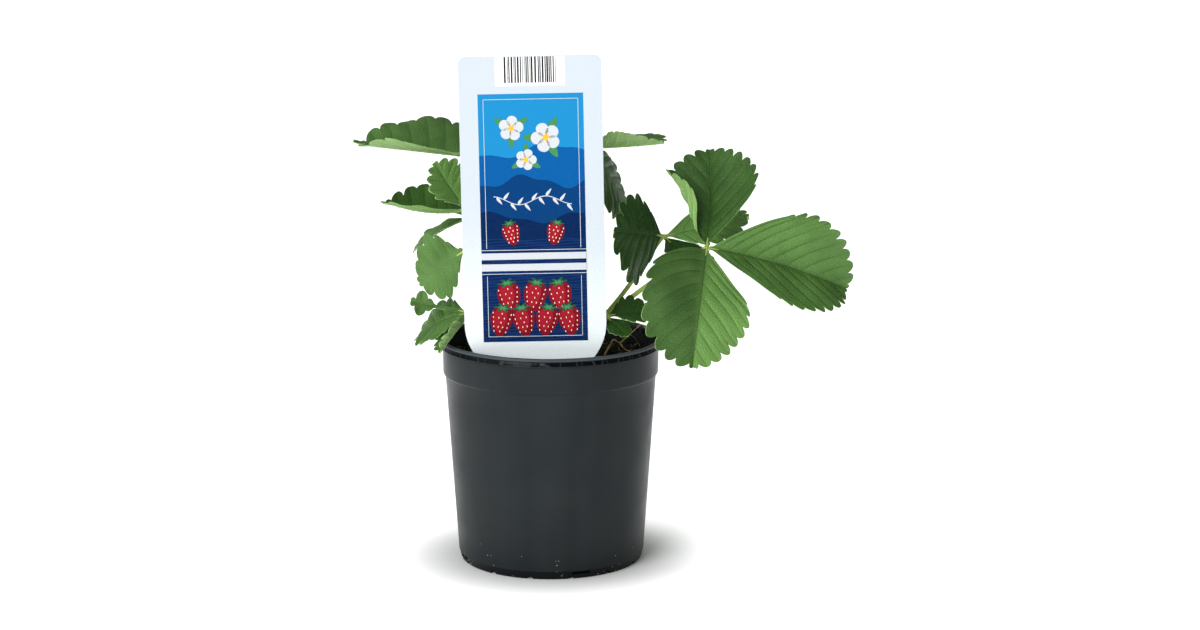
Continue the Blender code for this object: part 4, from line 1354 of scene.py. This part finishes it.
def leaves() -> list[Leaf]:
    """Return the plant's ten leaves."""
    return [
        Leaf("front_right_leaf", (83, -28, 176), (-12, 40), (-30, 30), {
            "middle_leaflet": Leaflet(
                10, -12, 57, 86, 58, 40, 21, 26, 0.05, smooth=0.38, tone=0.49, shift=0.05
            ),
            "right_leaflet": Leaflet(
                -96, -25, -7, 71, 68, -24, 40, 60, -0.15, smooth=0.35, tone=0.54, shift=0.16
            ),
            "left_leaflet": Leaflet(
                81, 41, -13, 58, 60, 24, 20, -25, -0.07, curl_left=105, smooth=0.4, tone=0.26
            ),
        }),
        Leaf("back_right_leaf", (61, 14, 175), (26, 30), (10, 55), {
            "middle_leaflet": Leaflet(-48, -24, 0, 36, 30, 10, 10, 15, tone=0.1),
            "right_leaflet": Leaflet(-120, 14, -60, 44, 48, -28, 21, 15, 0.15, smooth=0.15, tone=0.0),
            "left_leaflet": Leaflet(-3, 12, 20, 46, 46, 6, 3, 0, tone=0.7),
        }),
        Leaf("top_right_leaf", (21, 8, 225), (30, 74), (15, 64), {
            "middle_leaflet": Leaflet(36, -50, 43, 46, 42, 0, -12, 12, tone=0.3),
            "right_leaflet": Leaflet(-28, 4, 4, 43, 38, 8, 30, -4, tone=0.4),
            "left_leaflet": Leaflet(165, 14, 0, 34, 30, 14, 14, 10),
        }),
        Leaf("top_left_leaf", (-31, 6, 219), (170, 78), (170, 66), {
            "middle_leaflet": Leaflet(157, 2, 0, 79, 70, 13, 25, 0, smooth=0.16, tone=0.4),
            "right_leaflet": Leaflet(78, 38, 0, 34, 30, 12, 12, 10),
            "left_leaflet": Leaflet(-28, 6, 0, 28, 25, 12, 12, 12),
        }),
        Leaf("upper_left_leaf", (-45, -8, 193.5), (196, 46), (190, 62), {
            "middle_leaflet": Leaflet(154, -13, -3, 48, 43, 18, 28, -28, smooth=0.2, tone=0.22),
            "right_leaflet": Leaflet(72, 52, 0, 24, 22, 14, 14, 5, tone=0.3),
            "left_leaflet": Leaflet(172, 52, -34, 28, 32, 10, 10, -12, smooth=0.2, tone=0.74, pale=0.3),
        }),
        Leaf("back_left_leaf", (-43, 12, 186), (146, 40), (165, 55), {
            "middle_leaflet": Leaflet(184, -16, 0, 36, 30, 5, 4, 31, tone=0.5),
            "right_leaflet": Leaflet(122, 4, 0, 32, 28, 14, 14, 14),
            "left_leaflet": Leaflet(48, -4, 0, 22, 19, 14, 14, 12),
        }),
        Leaf("left_leaf", (-44, -24, 174), (226, 34), (206, 52), {
            "middle_leaflet": Leaflet(
                170, -30, -62, 33, 38, -9, -5, 26, -0.1, smooth=0.1, tooth=0.4, tone=0.46, pale=0.25
            ),
            "right_leaflet": Leaflet(84, -12, 0, 19, 13, 12, 12, 12),
            "left_leaflet": Leaflet(-4, 6, 0, 22, 13, 14, 14, 12),
        }),
        Leaf("low_left_leaf", (-43, -22, 140), (250, 22), (208, 30), {
            "middle_leaflet": Leaflet(158, -16, -26, 34, 38, 4, 10, 23, smooth=0.2, tone=0.46),
            "left_leaflet": Leaflet(-134, -38, 20, 27, 24, 36, 10, 5, smooth=0.2, tone=0.42),
            "small_leaflet": Leaflet(
                174, 8, -66, 30, 13, 12, 10, -14, neck=0.55, smooth=0.4, tooth=0.34, tone=0.42, pale=0.2
            ),
        }),
        Leaf("low_right_leaf", (30, -27, 139), (-58, 24), (-42, 44), {
            "middle_leaflet": Leaflet(14, 10, 22, 25, 25, 14, 6, 25, smooth=0.15, tone=0.1),
            "right_leaflet": Leaflet(-42, -30, 12, 16, 14, 0, 0, 0, tooth=0.3, tone=0.15),
            "left_leaflet": Leaflet(165, 24, 0, 17, 14, 12, 12, 8, tone=0.1),
        }),
        Leaf("back_leaf", (-8, 42, 188), (95, 40), (95, 62), {
            "middle_leaflet": Leaflet(92, 2, 0, 50, 44, 14, 14, 16, tone=0.45),
            "right_leaflet": Leaflet(14, 8, 0, 30, 27, 14, 14, 12),
            "left_leaflet": Leaflet(168, 8, 0, 30, 27, 14, 14, 12),
        }),
    ]


@dataclass
class Crown:
    """The short crown that the stalks grow from, wrapped in overlapping papery scales."""

    centre: tuple[float, float, float] = CROWN_PLACE
    radius: float = 9.0
    height: float = 8.6
    scales: int = 22

    def build(self) -> None:
        """Build a closed dome of rings, roughened by noise, and thin pointed scales that hug it."""
        steps = 40
        turn = np.linspace(0.0, 2.0 * np.pi, steps, endpoint=False)
        rise = np.linspace(0.0, np.pi / 2, 12)[:-1]
        x, y = np.cos(rise)[:, None] * np.cos(turn), np.cos(rise)[:, None] * np.sin(turn)
        high = np.broadcast_to(np.sin(rise)[:, None] * self.height, x.shape)
        dome = np.stack([x * self.radius, y * self.radius, high], -1)
        dome = dome * (0.9 + 0.06 * rumple(dome, 2.5, 31))[..., None] + self.centre
        size = dome.shape[0] * steps
        number = np.arange(steps)
        last = size - steps
        fans = [fan_faces(size, number + last), fan_faces(size + 1, number, flip=True)]
        ends = np.array([[0.0, 0.0, 0.9 * self.height], [0.0, 0.0, 0.0]]) + self.centre
        crown = Surface()
        points = np.concatenate([dome.reshape(-1, 3), ends])
        crown.add(points, [grid_faces(dome.shape[0], steps, wrap=True, flip=True)] + fans, tint=(0.2, 0.2, 0.2))
        rng = np.random.default_rng(9)
        along, across = np.meshgrid(np.linspace(0.0, 1.0, 12), np.linspace(-1.0, 1.0, 7), indexing="ij")
        for index in range(self.scales):
            heading = 2.4 * index + rng.uniform(-0.2, 0.2)
            length, half = rng.uniform(7.0, 12.0), rng.uniform(1.8, 3.0)
            lift = np.radians(rng.uniform(45.0, 80.0))
            wide = half * np.sin(np.pi * (0.22 + 0.78 * along)) ** 0.8
            out = self.radius * 0.72 + along * length * np.cos(lift) + 0.9 * np.sin(np.pi * along)
            out = out - 0.35 * (across * wide) ** 2 / half
            side = across * wide
            up = -0.4 + along * length * np.sin(lift)
            middle = np.stack(
                [
                    out * np.cos(heading) - side * np.sin(heading),
                    out * np.sin(heading) + side * np.cos(heading),
                    up,
                ],
                axis=-1,
            ) + self.centre
            way = np.array([np.cos(heading), np.sin(heading), 0.4])
            crown.shell(middle - way * 0.12, middle + way * 0.12, (rng.uniform(0.2, 1.0),) * 3)
        settle(crown.make("crown_scales", [CROWN.material()], 60.0), Slot.CROWN, "crown")


# --- Studio ---


@dataclass
class Studio:
    """The pale floor, the soft lights and the camera."""

    target: tuple[float, float, float] = (0.0267, 0.0, 0.134)
    distance: float = 1.5
    elevation: float = 11.41
    lens: float = 83.2
    sky: float = 0.14
    sides: tuple[float, float] = (0.54, 0.08)
    floor_size: float = 30.0
    suns: tuple[tuple[str, float, float, float, float], ...] = (
        ("key", 32.0, 24.0, 2.1, 36.0),
        ("side", 80.0, 20.0, 0.7, 60.0),
        ("top", 0.0, 80.0, 0.5, 90.0),
    )

    def sun(self, name: str, azimuth: float, elevation: float, strength: float, spread: float) -> None:
        """Add a broad soft light from a heading clockwise from the front, seen from above, in degrees."""
        light = bpy.data.lights.new(name, "SUN")
        light.energy = strength
        light.angle = np.radians(spread)
        lamp = bpy.data.objects.new(name, light)
        turn, rise = np.radians(azimuth), np.radians(elevation)
        way = Vector((-np.sin(turn) * np.cos(rise), -np.cos(turn) * np.cos(rise), np.sin(rise)))
        lamp.rotation_euler = way.to_track_quat("Z", "Y").to_euler()
        bpy.context.scene.collection.objects.link(lamp)

    def walls(self) -> None:
        """Light the surroundings: dim overhead, brighter towards the horizon, and most on the left."""
        world = bpy.data.worlds.new("studio")
        world.use_nodes = True
        nodes, links = world.node_tree.nodes, world.node_tree.links
        place = nodes.new("ShaderNodeTexCoord")
        parts = nodes.new("ShaderNodeSeparateXYZ")
        links.new(place.outputs["Generated"], parts.inputs[0])
        values = []
        for axis, (low, high, start, end) in ((2, (0.0, 0.8, 1.0, 0.0)), (0, (-1.0, 1.0, *self.sides))):
            ramp = nodes.new("ShaderNodeMapRange")
            ramp.interpolation_type = "SMOOTHSTEP"
            for number, value in enumerate((low, high, start, end), 1):
                ramp.inputs[number].default_value = value
            links.new(parts.outputs[axis], ramp.inputs[0])
            values.append(ramp.outputs[0])
        total = nodes.new("ShaderNodeMath")
        total.operation = "MULTIPLY_ADD"
        links.new(values[0], total.inputs[0])
        links.new(values[1], total.inputs[1])
        total.inputs[2].default_value = self.sky
        background = nodes["Background"]
        background.inputs["Color"].default_value = (0.96, 0.985, 1.0, 1.0)
        links.new(total.outputs[0], background.inputs["Strength"])
        bpy.context.scene.world = world

    def build(self) -> None:
        """Lay the floor, hang the lights and set the camera."""
        half = self.floor_size / 2
        square = np.array([[-1, -1, 0], [1, -1, 0], [1, 1, 0], [-1, 1, 0]], float)
        corners = square * half / MM
        sheet = Surface()
        sheet.add(corners, [np.array([[0, 1, 2, 3]])])
        sheet.make("floor", [FLOOR.material()])
        self.walls()
        for lamp in self.suns:
            self.sun(*lamp)
        lens = bpy.data.cameras.new("camera")
        lens.lens = self.lens
        lens.sensor_width = 36.0
        lens.clip_start = 0.01
        camera = bpy.data.objects.new("camera", lens)
        rise = np.radians(self.elevation)
        offset = Vector((0.0, -np.cos(rise), np.sin(rise))) * self.distance
        camera.location = Vector(self.target) + offset
        camera.rotation_euler = (np.pi / 2 - rise, 0.0, 0.0)
        bpy.context.scene.collection.objects.link(camera)
        bpy.context.scene.camera = camera
        bpy.context.scene.view_settings.view_transform = "Standard"


def main() -> None:
    """Build the pot, the soil, the label and the plant, and then the studio."""
    logging.basicConfig(level=logging.INFO, format="%(message)s")
    Studio().build()
    Pot().build()
    Soil().build()
    DryRoot().build()
    Label().build()
    Crown().build()
    stalk = STALK.material()
    blade = [UPPER_LEAF.material(), LOWER_LEAF.material()]
    for number, leaf in enumerate(leaves()):
        leaf.build(stalk, blade, 100 + 31 * number)


if __name__ == "__main__":
    main()
